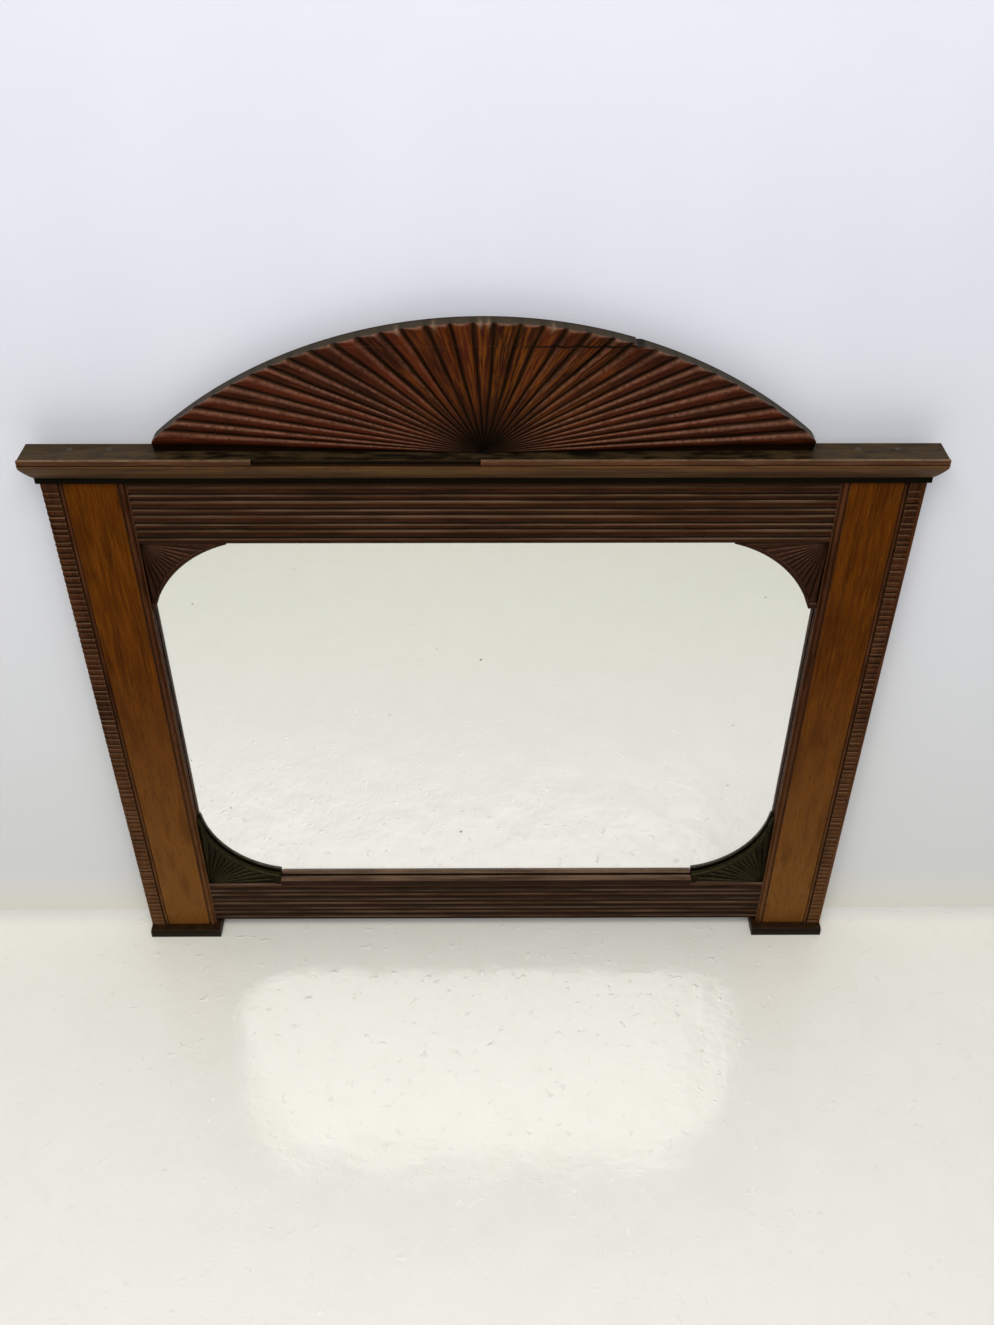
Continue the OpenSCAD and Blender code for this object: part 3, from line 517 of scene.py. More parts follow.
# Mahogany carved with gouges and shellacked: dark red rays with black valleys, the black partly painted
# shade.
carvedLook = {
    "dark": "#240d05", "light": "#4c1b0c", "streak": "#5e2810", "streakShare": 0.5,
    "streakWidth": 0.004, "streakLength": 0.05, "patch": (0.03, 0.03, 0.03),
    "valley": "#0b0702", "valleyTop": 0.8, "ridge": "#7a5646", "ridgeShare": 0.8, "ridgeFrom": 0.12,
    "ridgeTo": 0.6, "rubbed": "#6a4a38", "rubbedShare": 0.35, "hub": "#030402", "hubRadius": 0.1,
    "thin": "#6e3d0a", "thinShare": 0.65, "thinPlace": (0.03, 0.0, cadHigh.z - 0.06), "thinRadius": 0.17,
    "rim": "#2e2a1c", "chip": "#6c5a48", "wearReach": 1.4 * millimetre,
    "roughness": 0.42, "gloss": 0.14, "glossTint": "#ffb890",
}
# The pediment alone has an open glue line.
pedimentLook = {
    **carvedLook, "seamHeight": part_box("pediment_crest")[0].z, "seamReach": 2.0 * millimetre,
}
# The corner fans, of the same wood, dried out and grimy: olive-black below, browner above.
bottomFanLook = {
    **carvedLook, "dark": "#141108", "light": "#2a2413", "streak": "#352d18", "valley": "#080602",
    "valleyTop": 0.7, "ridge": "#565038", "ridgeShare": 0.6, "rubbed": "#57503a", "rubbedShare": 0.5,
    "hub": "#0a0904", "hubRadius": 0.018, "thinShare": 0.0, "rim": "#22200f",
    "patch": (0.012, 0.012, 0.012), "roughness": 0.5, "gloss": 0.05, "glossTint": "#ffe0a0",
}
topFanLook = {
    **carvedLook, "dark": "#1c0e06", "light": "#351d10", "streak": "#40281a", "valley": "#0a0502",
    "valleyTop": 0.7, "ridge": "#66493a", "ridgeShare": 0.7, "hub": "#100904", "hubRadius": 0.018,
    "thinShare": 0.0, "rim": "#241408", "patch": (0.012, 0.012, 0.012),
}
pedimentWood = carvedWood("pedimentWood", pedimentLook)
bottomFanWood = carvedWood("bottomFanWood", bottomFanLook)
topFanWood = carvedWood("topFanWood", topFanLook)
print("materials ready")


def dress(name, material):
    piece = nodes[name]
    piece.data.materials.clear()
    piece.data.materials.append(material)
    return piece


# Softens the sawn edges of a carried-over piece.
def soften(piece, width):
    bevel = piece.modifiers.new("softEdges", "BEVEL")
    bevel.width = width
    bevel.segments = 2
    bevel.limit_method = "ANGLE"
    bevel.angle_limit = math.radians(40)
    bevel.harden_normals = False


# Which material each carried-over piece has.
dressing = (
    (postWood, ("post_left", "post_right", "outer_bead_left", "outer_bead_right",
                "inner_bead_left", "inner_bead_right", "tenon_pegs")),
    (railWood, ("top_rail", "bottom_rail")),
    (amberVeneer, ("post_panel_left", "post_panel_right")),
    (mouldingPine, ("cornice_moulding", "cornice_return_left", "cornice_return_right")),
    (lipPine, ("cornice_lip_left", "cornice_lip_right")),
    (boardTop, ("cornice_board",)),
    (blackBeech, ("foot_left", "foot_right")),
    (shadedBeech, ("under_fillet", "under_fillet_left", "under_fillet_right")),
    (backingPine, ("slip_left", "slip_right", "slip_top", "slip_bottom",
                   "pediment_cleat_left", "pediment_cleat_right",
                   "back_board_1", "back_board_2", "back_board_3", "back_board_4")),
    (screwSteel, ("cornice_screws", "back_screws", "cleat_screws", "foot_screws")),
)
# Widths in mm to which each kind of piece has lost its sharp edges.
softness = {
    "post_left": 0.6, "post_right": 0.6, "foot": 0.9, "cornice": 1.1, "post_panel": 0.5, "under": 0.4,
    "inner_bead": 0.25, "outer_bead": 0.25, "top_rail": 0.3, "bottom_rail": 0.6, "back_board": 0.6,
    "pediment_cleat": 0.8,
}
for material, names in dressing:
    for name in names:
        piece = dress(name, material)
        widths = [width for start, width in softness.items() if name.startswith(start)]
        if widths and not name.endswith("screws"):
            soften(piece, widths[0] * millimetre)
print("carried-over pieces dressed")


# Builds a piece from faces, with its point attributes, and lets it ride on the frame.
def makePiece(name, points, faces, material, replaced, attributes=None):
    mesh = bpy.data.meshes.new(name)
    mesh.from_pydata(points, [], faces)
    mesh.update()
    for label, values in (attributes or {}).items():
        mesh.attributes.new(label, "FLOAT", "POINT").data.foreach_set("value", values)
    for polygon in mesh.polygons:
        polygon.use_smooth = True
    mesh.set_sharp_from_angle(angle=math.radians(38))
    mesh.materials.append(material)
    piece = newObject(name, mesh)
    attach(piece, "root")
    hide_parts(replaced)


# Closes rows of carved points, which run outwards, into a board with a flat back.
# Every row has the same count, and a point carries what its material needs.
def closeBoard(rows, backY):
    count = len(rows[0])
    last = len(rows) - 1
    entries = [entry for row in rows for entry in row]
    backInner = len(entries)
    for row in (rows[0], rows[last]):
        for entry in row:
            front = entry["point"]
            behind = Vector((entry.get("backX", front.x), backY, front.z))
            entries.append(dict(entry, point=behind, band=1.0, chip=0.0))
    backOuter = backInner + count
    faces = []
    for ring in range(last):
        for step in range(count - 1):
            corner = ring * count + step
            faces.append((corner, corner + count, corner + count + 1, corner + 1))
    rim = last * count
    for step in range(count - 1):
        faces.append((rim + step, backOuter + step, backOuter + step + 1, rim + step + 1))
        faces.append((step, step + 1, backInner + step + 1, backInner + step))
        faces.append((backInner + step, backInner + step + 1, backOuter + step + 1, backOuter + step))
    firstEnd = [ring * count for ring in range(last + 1)] + [backOuter, backInner]
    lastEnd = [ring * count + count - 1 for ring in range(last, -1, -1)]
    lastEnd += [backInner + count - 1, backOuter + count - 1]
    faces.append(tuple(firstEnd[::-1]))
    faces.append(tuple(lastEnd[::-1]))
    points = [entry["point"] for entry in entries]
    values = {label: [entry.get(label, 0.0) for entry in entries] for label in formLabels}
    return points, faces, values


# The sunburst: two boards cut from one arch. Roundness is how full a ray is between its
# valleys. The full depth, the arris and the chips start at shares of the way from hub to rim.
# The lower board's rows of points lie at shares of the way from the hub out, and the upper
# one's from the glue line out. Chips tells where the rim has been knocked, from the middle.
sunburst = {
    "rays": 33, "stepsPerRay": 18, "baseStrip": 9 * millimetre, "shoulder": 25 * millimetre,
    "depth": 5.5 * millimetre, "roundness": 2.3, "fullDepthFrom": 0.8, "depthPower": 0.8,
    "crestHeight": 28 * millimetre, "glueOpen": 0.9 * millimetre, "glueOpensFrom": 20 * millimetre,
    "glueShut": 0.8 * millimetre,
    "wander": 0.09, "wanderPerMetre": 40, "valleyWander": 0.1, "depthSpread": 0.25, "tintSpread": 0.5,
    "gougeDepth": 0.35 * millimetre, "gougePerMetre": 110,
    "cutBack": 5 * millimetre, "cutBackHeight": 14 * millimetre, "cutBackPower": 6,
    "arris": 1.0 * millimetre, "arrisFrom": 0.985, "chipDepth": 2 * millimetre, "chipFrom": 0.955,
    "chips": (-0.101, -0.058, -0.004, 0.006, 0.081), "chipWidth": 2.2 * millimetre, "seed": 7,
    "fanShares": (0.03, 0.06, 0.1, 0.15, 0.21, 0.28, 0.36, 0.45, 0.54, 0.63, 0.72, 0.8, 0.87, 0.93, 0.97,
                  0.985, 0.993, 1.0),
    "crestShares": (0.0, 0.03, 0.2, 0.4, 0.6, 0.75, 0.85, 0.93, 0.975, 1.0),
}
fanLow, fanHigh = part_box("pediment_fan")
crestLow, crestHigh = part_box("pediment_crest")
archHalf = (fanHigh.x - fanLow.x) / 2
archHeight = crestHigh.z - fanLow.z
archRadius = ((archHalf ** 2 - 2 * archHalf * sunburst["shoulder"] + archHeight ** 2)
              / (2 * (archHeight - sunburst["shoulder"])))
archDrop = archRadius - archHeight
archAngle = math.atan2(archHalf - sunburst["shoulder"], archDrop)
shoulderLength = sunburst["shoulder"] * (math.pi / 2 - archAngle)
rimLength = 2 * archRadius * archAngle + 2 * shoulderLength
rayWidth = (rimLength - 2 * sunburst["baseStrip"]) / sunburst["rays"]
glueHeight = archHeight - sunburst["crestHeight"]


# The arch's edge, by the distance along it from the right-hand foot: a small shoulder, the
# flat arc and the other shoulder.
def rimPoint(distance):
    side = 1
    if distance > rimLength / 2:
        distance = rimLength - distance
        side = -1
    if distance < shoulderLength:
        turn = distance / sunburst["shoulder"]
        x = archHalf - sunburst["shoulder"] + sunburst["shoulder"] * math.cos(turn)
        return Vector((side * x, 0, sunburst["shoulder"] * math.sin(turn)))
    turn = archAngle - (distance - shoulderLength) / archRadius
    return Vector((side * archRadius * math.sin(turn), 0, archRadius * math.cos(turn) - archDrop))


# How far along the edge, from the right, the arc has climbed to a height.
def rimDistance(height):
    return shoulderLength + archRadius * (archAngle - math.acos((height + archDrop) / archRadius))


carver = random.Random(sunburst["seed"])
rayTints = [carver.random() * sunburst["tintSpread"] for ray in range(sunburst["rays"] + 1)]
rayDepths = [1 - sunburst["depthSpread"] * carver.random() for ray in range(sunburst["rays"] + 1)]
valleyShifts = [carver.uniform(-1, 1) * sunburst["valleyWander"] for ray in range(1, sunburst["rays"])]
valleyShifts = [0.0] + valleyShifts + [0.0]


# The ray at a place along the rim, counted in rays, and the share of the way across it.
# No valley lies quite where the carver set it out.
def rayAt(place):
    rays = sunburst["rays"]
    ray = min(max(int(math.floor(place)), 0), rays - 1)
    if ray + 1 < rays and place > ray + 1 + valleyShifts[ray + 1]:
        ray += 1
    elif ray > 0 and place < ray + valleyShifts[ray]:
        ray -= 1
    start = ray + valleyShifts[ray]
    end = ray + 1 + valleyShifts[ray + 1]
    return ray, min(max((place - start) / (end - start), 0.0), 1.0)


# One point of the carving, at a share of the way out towards a place on the rim.
def sunburstEntry(distance, share):
    rim = rimPoint(distance)
    wander = noise.noise(Vector((distance * sunburst["wanderPerMetre"], share * 3, 0.3)))
    place = (distance - sunburst["baseStrip"]) / rayWidth + wander * sunburst["wander"]
    if distance < sunburst["baseStrip"] or distance > rimLength - sunburst["baseStrip"]:
        ray, crest = 0, 0.0
    else:
        ray, across = rayAt(place)
        crest = 1 - abs(2 * across - 1) ** sunburst["roundness"]
    fadeAndReflection = min(1.0, share / sunburst["fullDepthFrom"]) ** sunburst["depthPower"]
    gouge = noise.noise(Vector((distance * sunburst["gougePerMetre"], share * 16, 4.0)))
    y = fanLow.y + sunburst["depth"] * fadeAndReflection * (1 - crest * rayDepths[ray])
    y += gouge * sunburst["gougeDepth"] * fadeAndReflection
    # The rim's arris is rubbed round, and chipped here and there above the glue line.
    edge = max(0.0, (share - sunburst["arrisFrom"]) / (1 - sunburst["arrisFrom"]))
    chip = 0.0
    if rim.z > glueHeight:
        knocks = [(rim.x - chipX) / sunburst["chipWidth"] for chipX in sunburst["chips"]]
        chip = max(math.exp(-knock ** 2) for knock in knocks)
    y += edge ** 2 * (sunburst["arris"] + chip * sunburst["chipDepth"])
    chip *= max(0.0, (share - sunburst["chipFrom"]) / (1 - sunburst["chipFrom"]))
    # Near its feet the arch's end is cut back, less and less on the way up.
    x = rim.x * share
    cutBack = sunburst["cutBack"] * max(0.0, 1 - rim.z / sunburst["cutBackHeight"])
    cutBack *= share ** sunburst["cutBackPower"]
    return {
        "point": Vector((x - math.copysign(cutBack, x), max(y, fanLow.y), fanLow.z + rim.z * share)),
        "backX": x, "crest": crest, "along": distance, "out": rim.length * share,
        "tint": rayTints[ray], "chip": chip,
    }


# Places along the rim at which the carving is drawn, between two ends.
def rimSamples(start, end):
    perRay = sunburst["stepsPerRay"]
    steps = sunburst["rays"] * perRay
    places = [sunburst["baseStrip"] + rayWidth * step / perRay for step in range(steps + 1)]
    inner = [place for place in places if start + millimetre < place < end - millimetre]
    return [start] + inner + [end]


# The lower board, cut off level along the glue line.
def pedimentFan():
    cutRight = rimDistance(glueHeight)
    cutLeft = rimLength - cutRight
    samples = (rimSamples(0, cutRight)[:-1] + rimSamples(cutRight, cutLeft)[:-1]
               + rimSamples(cutLeft, rimLength))
    cuts = [min(1.0, glueHeight / max(rimPoint(distance).z, millimetre)) for distance in samples]
    rows = [[sunburstEntry(distance, share * cut) for distance, cut in zip(samples, cuts)]
            for share in sunburst["fanShares"]]
    points, faces, values = closeBoard(rows, fanHigh.y)
    makePiece("sunburstFan", points, faces, pedimentWood, "pediment_fan", values)


# The upper board. Its foot follows the glue line, which opens towards the right.
def pedimentCrest():
    rightEnd = rimDistance(glueHeight + sunburst["glueOpen"] + millimetre)
    leftEnd = rimLength - rimDistance(glueHeight + sunburst["glueShut"])
    rows = []
    for share in sunburst["crestShares"]:
        row = []
        for distance in rimSamples(rightEnd, leftEnd):
            rim = rimPoint(distance)
            opened = max(0.0, (rim.x - sunburst["glueOpensFrom"]) / archHalf * 2)
            foot = (glueHeight + sunburst["glueOpen"] * opened) / rim.z
            row.append(sunburstEntry(distance, foot + (1 - foot) * share))
        rows.append(row)
    points, faces, values = closeBoard(rows, crestHigh.y)
    makePiece("sunburstCrest", points, faces, pedimentWood, "pediment_crest", values)


pedimentFan()
pedimentCrest()
print("sunburst carved")


# A corner fan. The hollow edge passes through the fan's end on the rail and its tip
# on the post, so its middle follows from those and the radius. The border is the smooth
# band between the rays and the hollow edge: each of its lines has its share of the reach,
# what is added to that, and how far it lies behind the face.
fanCarving = {
    "rays": 12, "stepsPerRay": 14, "relief": 2.2 * millimetre, "roundness": 2.2, "fullDepthFrom": 0.625,
    "sunk": 0.6 * millimetre, "rayReach": 0.93, "border": 3 * millimetre, "tintSpread": 0.5,
    "gougeDepth": 0.2 * millimetre, "gougePerTurn": 40, "streakRadius": 0.1, "seed": 3,
    "shares": (0.025, 0.08, 0.16, 0.27, 0.4, 0.55, 0.7, 0.83, 0.93, 1.0),
    "borderLines": ((0.94, -2.6 * millimetre, 1.8 * millimetre), (0.95, -2.3 * millimetre, 0.3 * millimetre),
                    (0.965, -1.7 * millimetre, 0.0), (0.99, -0.8 * millimetre, 0.1 * millimetre),
                    (1.0, 0.0, 1.0 * millimetre)),
}
fanShapes = {
    "top_left": {"end": 2 * millimetre, "tip": 3.5 * millimetre, "radius": 158 * millimetre},
    "top_right": {"end": 2 * millimetre, "tip": 11 * millimetre, "radius": 158 * millimetre},
    "bottom_left": {"end": 19 * millimetre, "tip": 3.5 * millimetre, "radius": 140 * millimetre},
    "bottom_right": {"end": 19 * millimetre, "tip": 3.5 * millimetre, "radius": 140 * millimetre},
}
tiny = 1e-4  # keeps a division clear of nought


# The middle of the hollow edge's circle, from the fan's own corner.
def hollowMiddle(shape, along, up):
    run = Vector((shape["tip"] - along, up - shape["end"]))
    middle = (Vector((along, shape["end"])) + Vector((shape["tip"], up))) / 2
    away = math.sqrt(shape["radius"] ** 2 - (run.length / 2) ** 2)
    return middle + Vector((run.y, -run.x)).normalized() * away


# How far a fan reaches from its corner at each angle: to its straight ends or the hollow edge.
def fanReach(shape, along, up, angle):
    middle = hollowMiddle(shape, along, up)
    end = min(along / max(math.cos(angle), tiny), up / max(math.sin(angle), tiny))
    forward = middle.x * math.cos(angle) + middle.y * math.sin(angle)
    inside = forward ** 2 - (middle.length_squared - shape["radius"] ** 2)
    return min(end, forward - math.sqrt(inside)) if inside > 0 else end


def cornerFan(corner, material):
    low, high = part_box(f"corner_fan_{corner}")
    along = high.x - low.x
    up = high.z - low.z
    cornerX, outX = (low.x, 1) if corner.endswith("left") else (high.x, -1)
    cornerZ, outZ = (high.z, -1) if corner.startswith("top") else (low.z, 1)
    fanCarver = random.Random(fanCarving["seed"] + len(corner))
    tints = [fanCarver.random() * fanCarving["tintSpread"] for ray in range(fanCarving["rays"] + 1)]
    total = fanCarving["rays"] * fanCarving["stepsPerRay"]
    angles = [math.pi / 2 * step / total for step in range(total + 1)]
    reaches = [fanReach(fanShapes[corner], along, up, angle) for angle in angles]

    def entry(angle, reach, behind, crest, tint):
        x = cornerX + outX * reach * math.cos(angle)
        z = cornerZ + outZ * reach * math.sin(angle)
        return {"point": Vector((x, low.y + behind, z)), "crest": crest,
                "along": angle * fanCarving["streakRadius"], "out": reach, "tint": tint}

    rows = []
    for share in fanCarving["shares"]:
        row = []
        for step, angle in enumerate(angles):
            ray = min(step // fanCarving["stepsPerRay"], fanCarving["rays"] - 1)
            across = step / fanCarving["stepsPerRay"] - ray
            crest = 1 - abs(2 * across - 1) ** fanCarving["roundness"]
            depth = fanCarving["relief"] * (1 - crest) * min(1.0, share / fanCarving["fullDepthFrom"])
            gouge = noise.noise(Vector((angle * fanCarving["gougePerTurn"], share * 9, 1.0)))
            behind = fanCarving["sunk"] + depth + abs(gouge) * fanCarving["gougeDepth"]
            reach = (reaches[step] * fanCarving["rayReach"] - fanCarving["border"]) * share
            row.append(entry(angle, reach, behind, crest, tints[ray]))
        rows.append(row)
    for share, added, behind in fanCarving["borderLines"]:
        rows.append([entry(angle, reach * share + added, behind, 1.0, fanCarving["tintSpread"] / 2)
                     for angle, reach in zip(angles, reaches)])
    points, faces, values = closeBoard(rows, high.y)
    if outX * outZ < 0:
        faces = [face[::-1] for face in faces]
    makePiece(f"cornerFan_{corner}", points, faces, material, f"corner_fan_{corner}", values)


cornerFan("top_left", topFanWood)
cornerFan("top_right", topFanWood)
cornerFan("bottom_left", bottomFanWood)
cornerFan("bottom_right", bottomFanWood)
print("corner fans carved")


# The notched strips. Every notch was cut with a chisel, so none is quite like the next.
# On the right the cuts stop short of the outer edge and leave a plain margin. The profile
# gives shares of a notch's height and depth, and the columns shares of the strip's width
# and of the depth there. Worn per metre is how fast the wear changes across and up.
notching = {
    "pitch": 9.2 * millimetre, "height": 5 * millimetre, "depth": 2.3 * millimetre,
    "spread": 1.2 * millimetre, "heights": (0.7, 1.2), "depths": (0.4, 1.0),
    "profile": ((0.0, 0.0), (0.15, 1.0), (0.5, 0.9), (0.85, 0.3), (1.0, 0.0)),
    "wornPerMetre": (130, 170), "wornShare": 0.25, "wornDepth": 0.3 * millimetre,
    "slant": 1.5 * millimetre, "seed": 11,
    "columns": {"left": ((0.0, 0.8), (0.08, 1), (0.35, 1), (0.7, 1), (1.0, 1)),
                "right": ((0.0, 1), (0.3, 1), (0.6, 1), (0.78, 1), (0.82, 0.0), (1.0, 0.0))},
}


# Heights up the strip, with the depth of the cut at each.
def notchProfile(low, high, chisel):
    profile = [(low.z, 0.0)]
    place = low.z + notching["pitch"] / 2
    while place + notching["pitch"] < high.z:
        start = place + chisel.uniform(-1, 1) * notching["spread"]
        height = notching["height"] * chisel.uniform(*notching["heights"])
        depth = notching["depth"] * chisel.uniform(*notching["depths"])
        profile += [(start + height * up, depth * share) for up, share in notching["profile"]]
        place += notching["pitch"]
    return profile + [(high.z, 0.0)]


# The carved front, row by row, and then the four corners of the back.
def stripPoints(side, low, high, profile):
    points = []
    acrossRate, upRate = notching["wornPerMetre"]
    for z, depth in profile:
        for across, share in notching["columns"][side]:
            x = low.x + (high.x - low.x) * across
            worn = noise.noise(Vector((x * acrossRate, z * upRate, 2.0)))
            cut = depth * share * (1 + notching["wornShare"] * worn)
            y = low.y + cut + abs(worn) * notching["wornDepth"]
            slant = 0.0 if z in (low.z, high.z) else (across - 0.5) * worn * notching["slant"]
            points.append((x, min(y, high.y - millimetre), z + slant))
    return points + [(x, high.y, z) for z in (low.z, high.z) for x in (low.x, high.x)]


# The carved front, the back, the two long edges, and the bottom and top ends.
def stripFaces(rows, width):
    faces = []
    for row in range(rows - 1):
        for column in range(width - 1):
            corner = row * width + column
            faces.append((corner, corner + 1, corner + width + 1, corner + width))
    back = rows * width
    last = back - width
    leftEdge = [row * width for row in range(rows)]
    rightEdge = [row * width + width - 1 for row in range(rows)]
    faces.append((back, back + 2, back + 3, back + 1))
    faces.append(tuple(leftEdge + [back + 2, back]))
    faces.append(tuple([back + 1, back + 3] + rightEdge[::-1]))
    faces.append(tuple([back + 1] + list(range(width - 1, -1, -1)) + [back]))
    faces.append(tuple([back + 2] + list(range(last, back)) + [back + 3]))
    return faces


def notchedStrip(side):
    low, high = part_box(f"notched_strip_{side}")
    profile = notchProfile(low, high, random.Random(notching["seed"] + len(side)))
    points = stripPoints(side, low, high, profile)
    faces = stripFaces(len(profile), len(notching["columns"][side]))
    makePiece(f"notchedStrip_{side}", points, faces, postWood, f"notched_strip_{side}")


notchedStrip("left")
notchedStrip("right")
print("strips notched")


# The plate is a hair thinner than the piece it replaces, so it shares no face with the wood.
# Its shine is low because, next to the silver behind it, it hardly counts.
mirrorGlass = {
    "clearance": 0.15 * millimetre, "glass": "#ffffff", "glassIndex": 1.52, "glassShine": 0.15,
    "silver": "#fdfeff", "dimmed": "#dfe2da", "dimmedFrom": 0.35, "dimmedTo": 0.8,
    "foxing": "#6a6456", "foxingSize": 0.011, "edge": "#120c06", "edgeRoughness": 0.6,
}


# Polished plate glass: clear and smooth.
def plateGlass():
    material, tree, shader = newMaterial("plateGlass")
    shader.inputs["Base Color"].default_value = linearColour(mirrorGlass["glass"])
    shader.inputs["Transmission Weight"].default_value = 1.0
    shader.inputs["Roughness"].default_value = 0.0
    shader.inputs["IOR"].default_value = mirrorGlass["glassIndex"]
    shader.inputs["Specular IOR Level"].default_value = mirrorGlass["glassShine"]
    return material


# Silver laid on the back of the plate by hand: bright low down and darker towards the top, which is painted
# shade in what it mirrors, with a few foxed spots.
def silvering():
    material, tree, shader = newMaterial("silvering")
    spots = add(tree, "ShaderNodeTexNoise", {"Scale": 1.0, "Detail": 3.0},
                {"Vector": patternSpace(tree, (mirrorGlass["foxingSize"],) * 3)})
    foxed = add(tree, "ShaderNodeMapRange", {"From Min": 0.735, "From Max": 0.78},
                {"Value": spots.outputs["Fac"]})
    # Painted shade: the silver darkens towards the top.
    colour = add(tree, "ShaderNodeMix", {
        "data_type": "RGBA", 6: linearColour(mirrorGlass["silver"]), 7: linearColour(mirrorGlass["dimmed"])},
        {0: spanField(tree, "Z", mirrorGlass["dimmedFrom"], mirrorGlass["dimmedTo"])})
    spotted = layer(tree, colour.outputs[2], foxed.outputs["Result"], mirrorGlass["foxing"], 1.0)
    tree.links.new(spotted, shader.inputs["Base Color"])
    shader.inputs["Metallic"].default_value = 1.0
    shader.inputs["Roughness"].default_value = 0.0
    return material


# The plate's edges are painted black, which keeps the damp from the silver; the black also stands in for the
# dark reflection of the frame's inner sides along the glass, a painted reflection.
def edgePaint():
    material, tree, shader = newMaterial("edgePaint")
    shader.inputs["Base Color"].default_value = linearColour(mirrorGlass["edge"])
    shader.inputs["Roughness"].default_value = mirrorGlass["edgeRoughness"]
    return material


def mirrorPlate():
    low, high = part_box("mirror_glass")
    frontY = low.y + mirrorGlass["clearance"]
    backY = high.y - mirrorGlass["clearance"]
    corners = [(x, y, z) for y in (frontY, backY) for z in (low.z, high.z) for x in (low.x, high.x)]
    faces = [(0, 1, 3, 2), (4, 6, 7, 5), (0, 2, 6, 4), (1, 5, 7, 3), (0, 4, 5, 1), (2, 3, 7, 6)]
    mesh = bpy.data.meshes.new("mirrorPlate")
    mesh.from_pydata(corners, [], faces)
    mesh.materials.append(plateGlass())
    mesh.materials.append(silvering())
    mesh.materials.append(edgePaint())
    # The first face is the front, the second the back, and the others are the edges.
    for index, polygon in enumerate(mesh.polygons):
        polygon.material_index = min(index, 2)
    plate = newObject("mirrorPlate", mesh)
    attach(plate, "root")
    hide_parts("mirror_glass")


mirrorPlate()
print("mirror set")


# The camera is held at a standing height in front of the mirror and looks down at it.
# Its angles are in degrees, and its focal length is in pixels of the picture.
cameraView = {
    "place": (0.0061, -1.38, 1.6641), "pitchDown": 38.69, "turnRight": 0.424, "roll": 0.154,
    "focalPixels": 1272.6, "framePixels": (994, 1325), "sensorWidth": 36, "nearest": 0.05, "farthest": 60,
}


def makeCamera(view):
    data = bpy.data.cameras.new("camera")
    data.sensor_width = view["sensorWidth"]
    data.lens = view["focalPixels"] * data.sensor_width / max(view["framePixels"])
    data.clip_start = view["nearest"]
    data.clip_end = view["farthest"]
    camera = newObject("camera", data)
    turned = (Matrix.Rotation(math.radians(-view["turnRight"]), 4, "Z")
              @ Matrix.Rotation(math.radians(90 - view["pitchDown"]), 4, "X")
              @ Matrix.Rotation(math.radians(view["roll"]), 4, "Z"))
    camera.matrix_world = Matrix.Translation(view["place"]) @ turned
    scene.camera = camera


makeCamera(cameraView)
print("camera set")


# One plane of the room around the mirror.
def addPlane(name, corners, material):
    mesh = bpy.data.meshes.new(name)
    mesh.from_pydata(corners, [], [tuple(range(len(corners)))])
    mesh.materials.append(material)
    newObject(name, mesh)


# In metres. The floor runs on behind the wall, which stands a little way off the mirror's
# back. A ray shorter than closeBy passes through the wall.
room = {"halfWidth": 4.0, "front": -7.0, "back": 4.0, "height": 4.5, "wallGap": 0.009, "closeBy": 0.04}


# The set's wall has one side. From behind it is clear, and it lets daylight through to
# what stands close to it, so that the mirror's back can be looked at too.
def openFromBehind(tree, shader):
    side = add(tree, "ShaderNodeNewGeometry")
    path = add(tree, "ShaderNodeLightPath")
    close = add(tree, "ShaderNodeMath", {"operation": "LESS_THAN", 1: room["closeBy"]},
                {0: path.outputs["Ray Length"]})
    opened = add(tree, "ShaderNodeMath", {"operation": "MAXIMUM"},
                 {0: side.outputs["Backfacing"], 1: close.outputs["Value"]})
    clear = add(tree, "ShaderNodeBsdfTransparent")
    oneSided = add(tree, "ShaderNodeMixShader", {}, {
        0: opened.outputs["Value"], 1: shader.outputs["BSDF"], 2: clear.outputs["BSDF"]})
    tree.links.new(oneSided.outputs["Shader"], tree.nodes["Material Output"].inputs["Surface"])


# Emulsion on plaster: bluish white and flat, with faint roller marks. It greys downwards,
# and turns cream at its foot.
wallLook = {
    "light": "#e8ebf6", "shaded": "#e0e4f2", "marks": (0.12, 0.12, 0.25), "roughness": 0.7,
    "grey": "#e5e6e5", "greyShare": 0.8, "greyFrom": 1.2, "greyTo": 0.3,
    "cream": "#efece1", "creamFrom": 0.1,
}


def wallPaint():
    material, tree, shader = newMaterial("wallPaint")
    marks = add(tree, "ShaderNodeTexNoise", {"Scale": 1.0, "Detail": 3.0},
                {"Vector": patternSpace(tree, wallLook["marks"])})
    colour = add(tree, "ShaderNodeMix", {
        "data_type": "RGBA", 6: linearColour(wallLook["shaded"]), 7: linearColour(wallLook["light"])},
        {0: marks.outputs["Fac"]})
    downwards = spanField(tree, "Z", wallLook["greyFrom"], wallLook["greyTo"])
    greyed = layer(tree, colour.outputs[2], downwards, wallLook["grey"], wallLook["greyShare"])
    atFoot = spanField(tree, "Z", wallLook["creamFrom"], 0.0)
    painted = layer(tree, greyed, atFoot, wallLook["cream"], 1.0)
    tree.links.new(painted, shader.inputs["Base Color"])
    shader.inputs["Roughness"].default_value = wallLook["roughness"]
    openFromBehind(tree, shader)
    return material


# Gloss floor paint rolled on concrete: cream, with dents and blisters that break up its shine.
floorLook = {
    "light": "#f4f2ea", "shaded": "#eeece2", "roughness": 0.2, "index": 1.5,
    "waveSize": 0.07, "waveDepth": 2.4 * millimetre, "waveBump": 0.8,
    "dentSize": 0.017, "dentDepth": 1.4 * millimetre, "dentBump": 0.65,
}


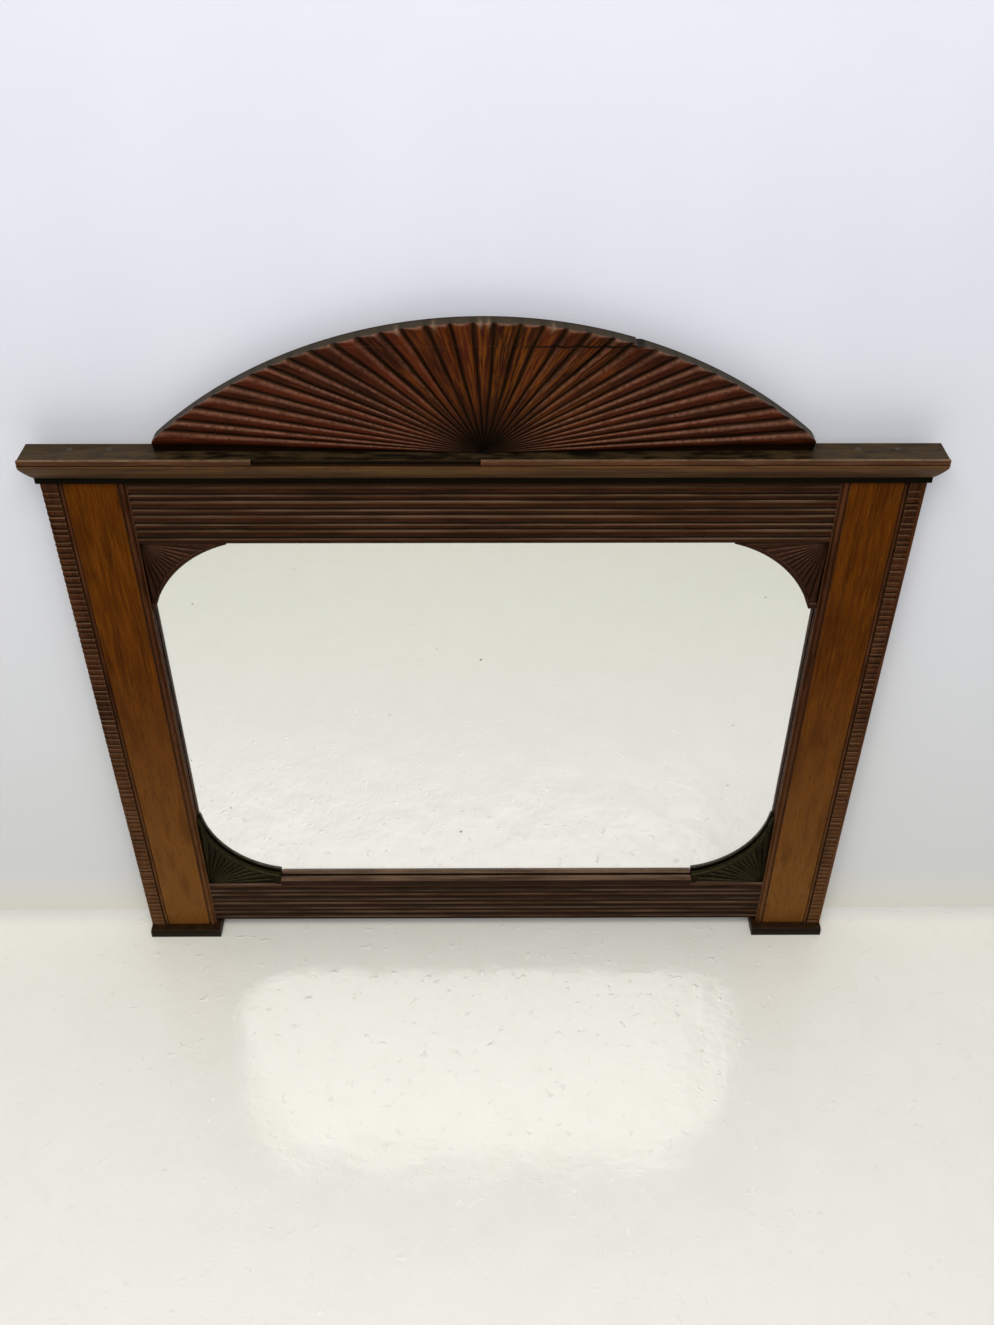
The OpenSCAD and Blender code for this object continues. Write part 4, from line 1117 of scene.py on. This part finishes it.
def floorPaint():
    material, tree, shader = newMaterial("floorPaint")
    waves = add(tree, "ShaderNodeTexNoise", {"Scale": 1.0, "Detail": 4.0, "Roughness": 0.55},
                {"Vector": patternSpace(tree, (floorLook["waveSize"],) * 3)})
    dents = add(tree, "ShaderNodeTexNoise", {"Scale": 1.0, "Detail": 2.0, "Distortion": 0.4},
                {"Vector": patternSpace(tree, (floorLook["dentSize"],) * 3)})
    blisters = add(tree, "ShaderNodeMapRange", {"From Min": 0.64, "From Max": 0.78},
                   {"Value": dents.outputs["Fac"]})
    broad = add(tree, "ShaderNodeBump", {
        "Strength": floorLook["waveBump"], "Distance": floorLook["waveDepth"]},
        {"Height": waves.outputs["Fac"]})
    small = add(tree, "ShaderNodeBump", {
        "Strength": floorLook["dentBump"], "Distance": floorLook["dentDepth"]},
        {"Height": blisters.outputs["Result"], "Normal": broad.outputs["Normal"]})
    tree.links.new(small.outputs["Normal"], shader.inputs["Normal"])
    colour = add(tree, "ShaderNodeMix", {
        "data_type": "RGBA", 6: linearColour(floorLook["shaded"]), 7: linearColour(floorLook["light"])},
        {0: waves.outputs["Fac"]})
    tree.links.new(colour.outputs[2], shader.inputs["Base Color"])
    shader.inputs["Roughness"].default_value = floorLook["roughness"]
    shader.inputs["IOR"].default_value = floorLook["index"]
    return material


wallY = cadHigh.y + room["wallGap"]
left = -room["halfWidth"]
right = room["halfWidth"]
addPlane("floor", [(left, room["front"], 0), (right, room["front"], 0), (right, room["back"], 0),
                   (left, room["back"], 0)], floorPaint())
addPlane("wall", [(left, wallY, 0), (right, wallY, 0), (right, wallY, room["height"]),
                  (left, wallY, room["height"])], wallPaint())

# A plain grey-white room. Most light comes in by a wide window high behind the camera,
# which shines in the floor's gloss by way of the glass. A ceiling light adds the rest.
# Places and sizes are in metres, tilts in degrees from straight down and powers in watts.
roomLight = {"colour": "#e8edfa", "strength": 0.405}
lamps = {
    "ceilingLight": {"place": (0.0, -1.25, 3.3), "tilt": 20, "size": (2.6, 0.8), "power": 22,
                     "colour": "#fffaf0"},
    "highWindow": {"place": (-0.2, -2.25, 3.2), "tilt": 35, "size": (2.5, 1.6), "power": 62,
                   "colour": "#fffcf4"},
}


def lightRoom():
    world = bpy.data.worlds.new("world")
    world.use_nodes = True
    sky = world.node_tree.nodes["Background"]
    sky.inputs["Color"].default_value = linearColour(roomLight["colour"])
    sky.inputs["Strength"].default_value = roomLight["strength"]
    scene.world = world


def hangLamp(name, setting):
    light = bpy.data.lights.new(name, "AREA")
    light.shape = "RECTANGLE"
    light.size, light.size_y = setting["size"]
    light.energy = setting["power"]
    light.color = linearColour(setting["colour"])[:3]
    lamp = newObject(name, light)
    lamp.location = setting["place"]
    lamp.rotation_euler.x = math.radians(setting["tilt"])


lightRoom()
for name, setting in lamps.items():
    hangLamp(name, setting)
print("room lit")
scene.view_settings.view_transform = "Standard"
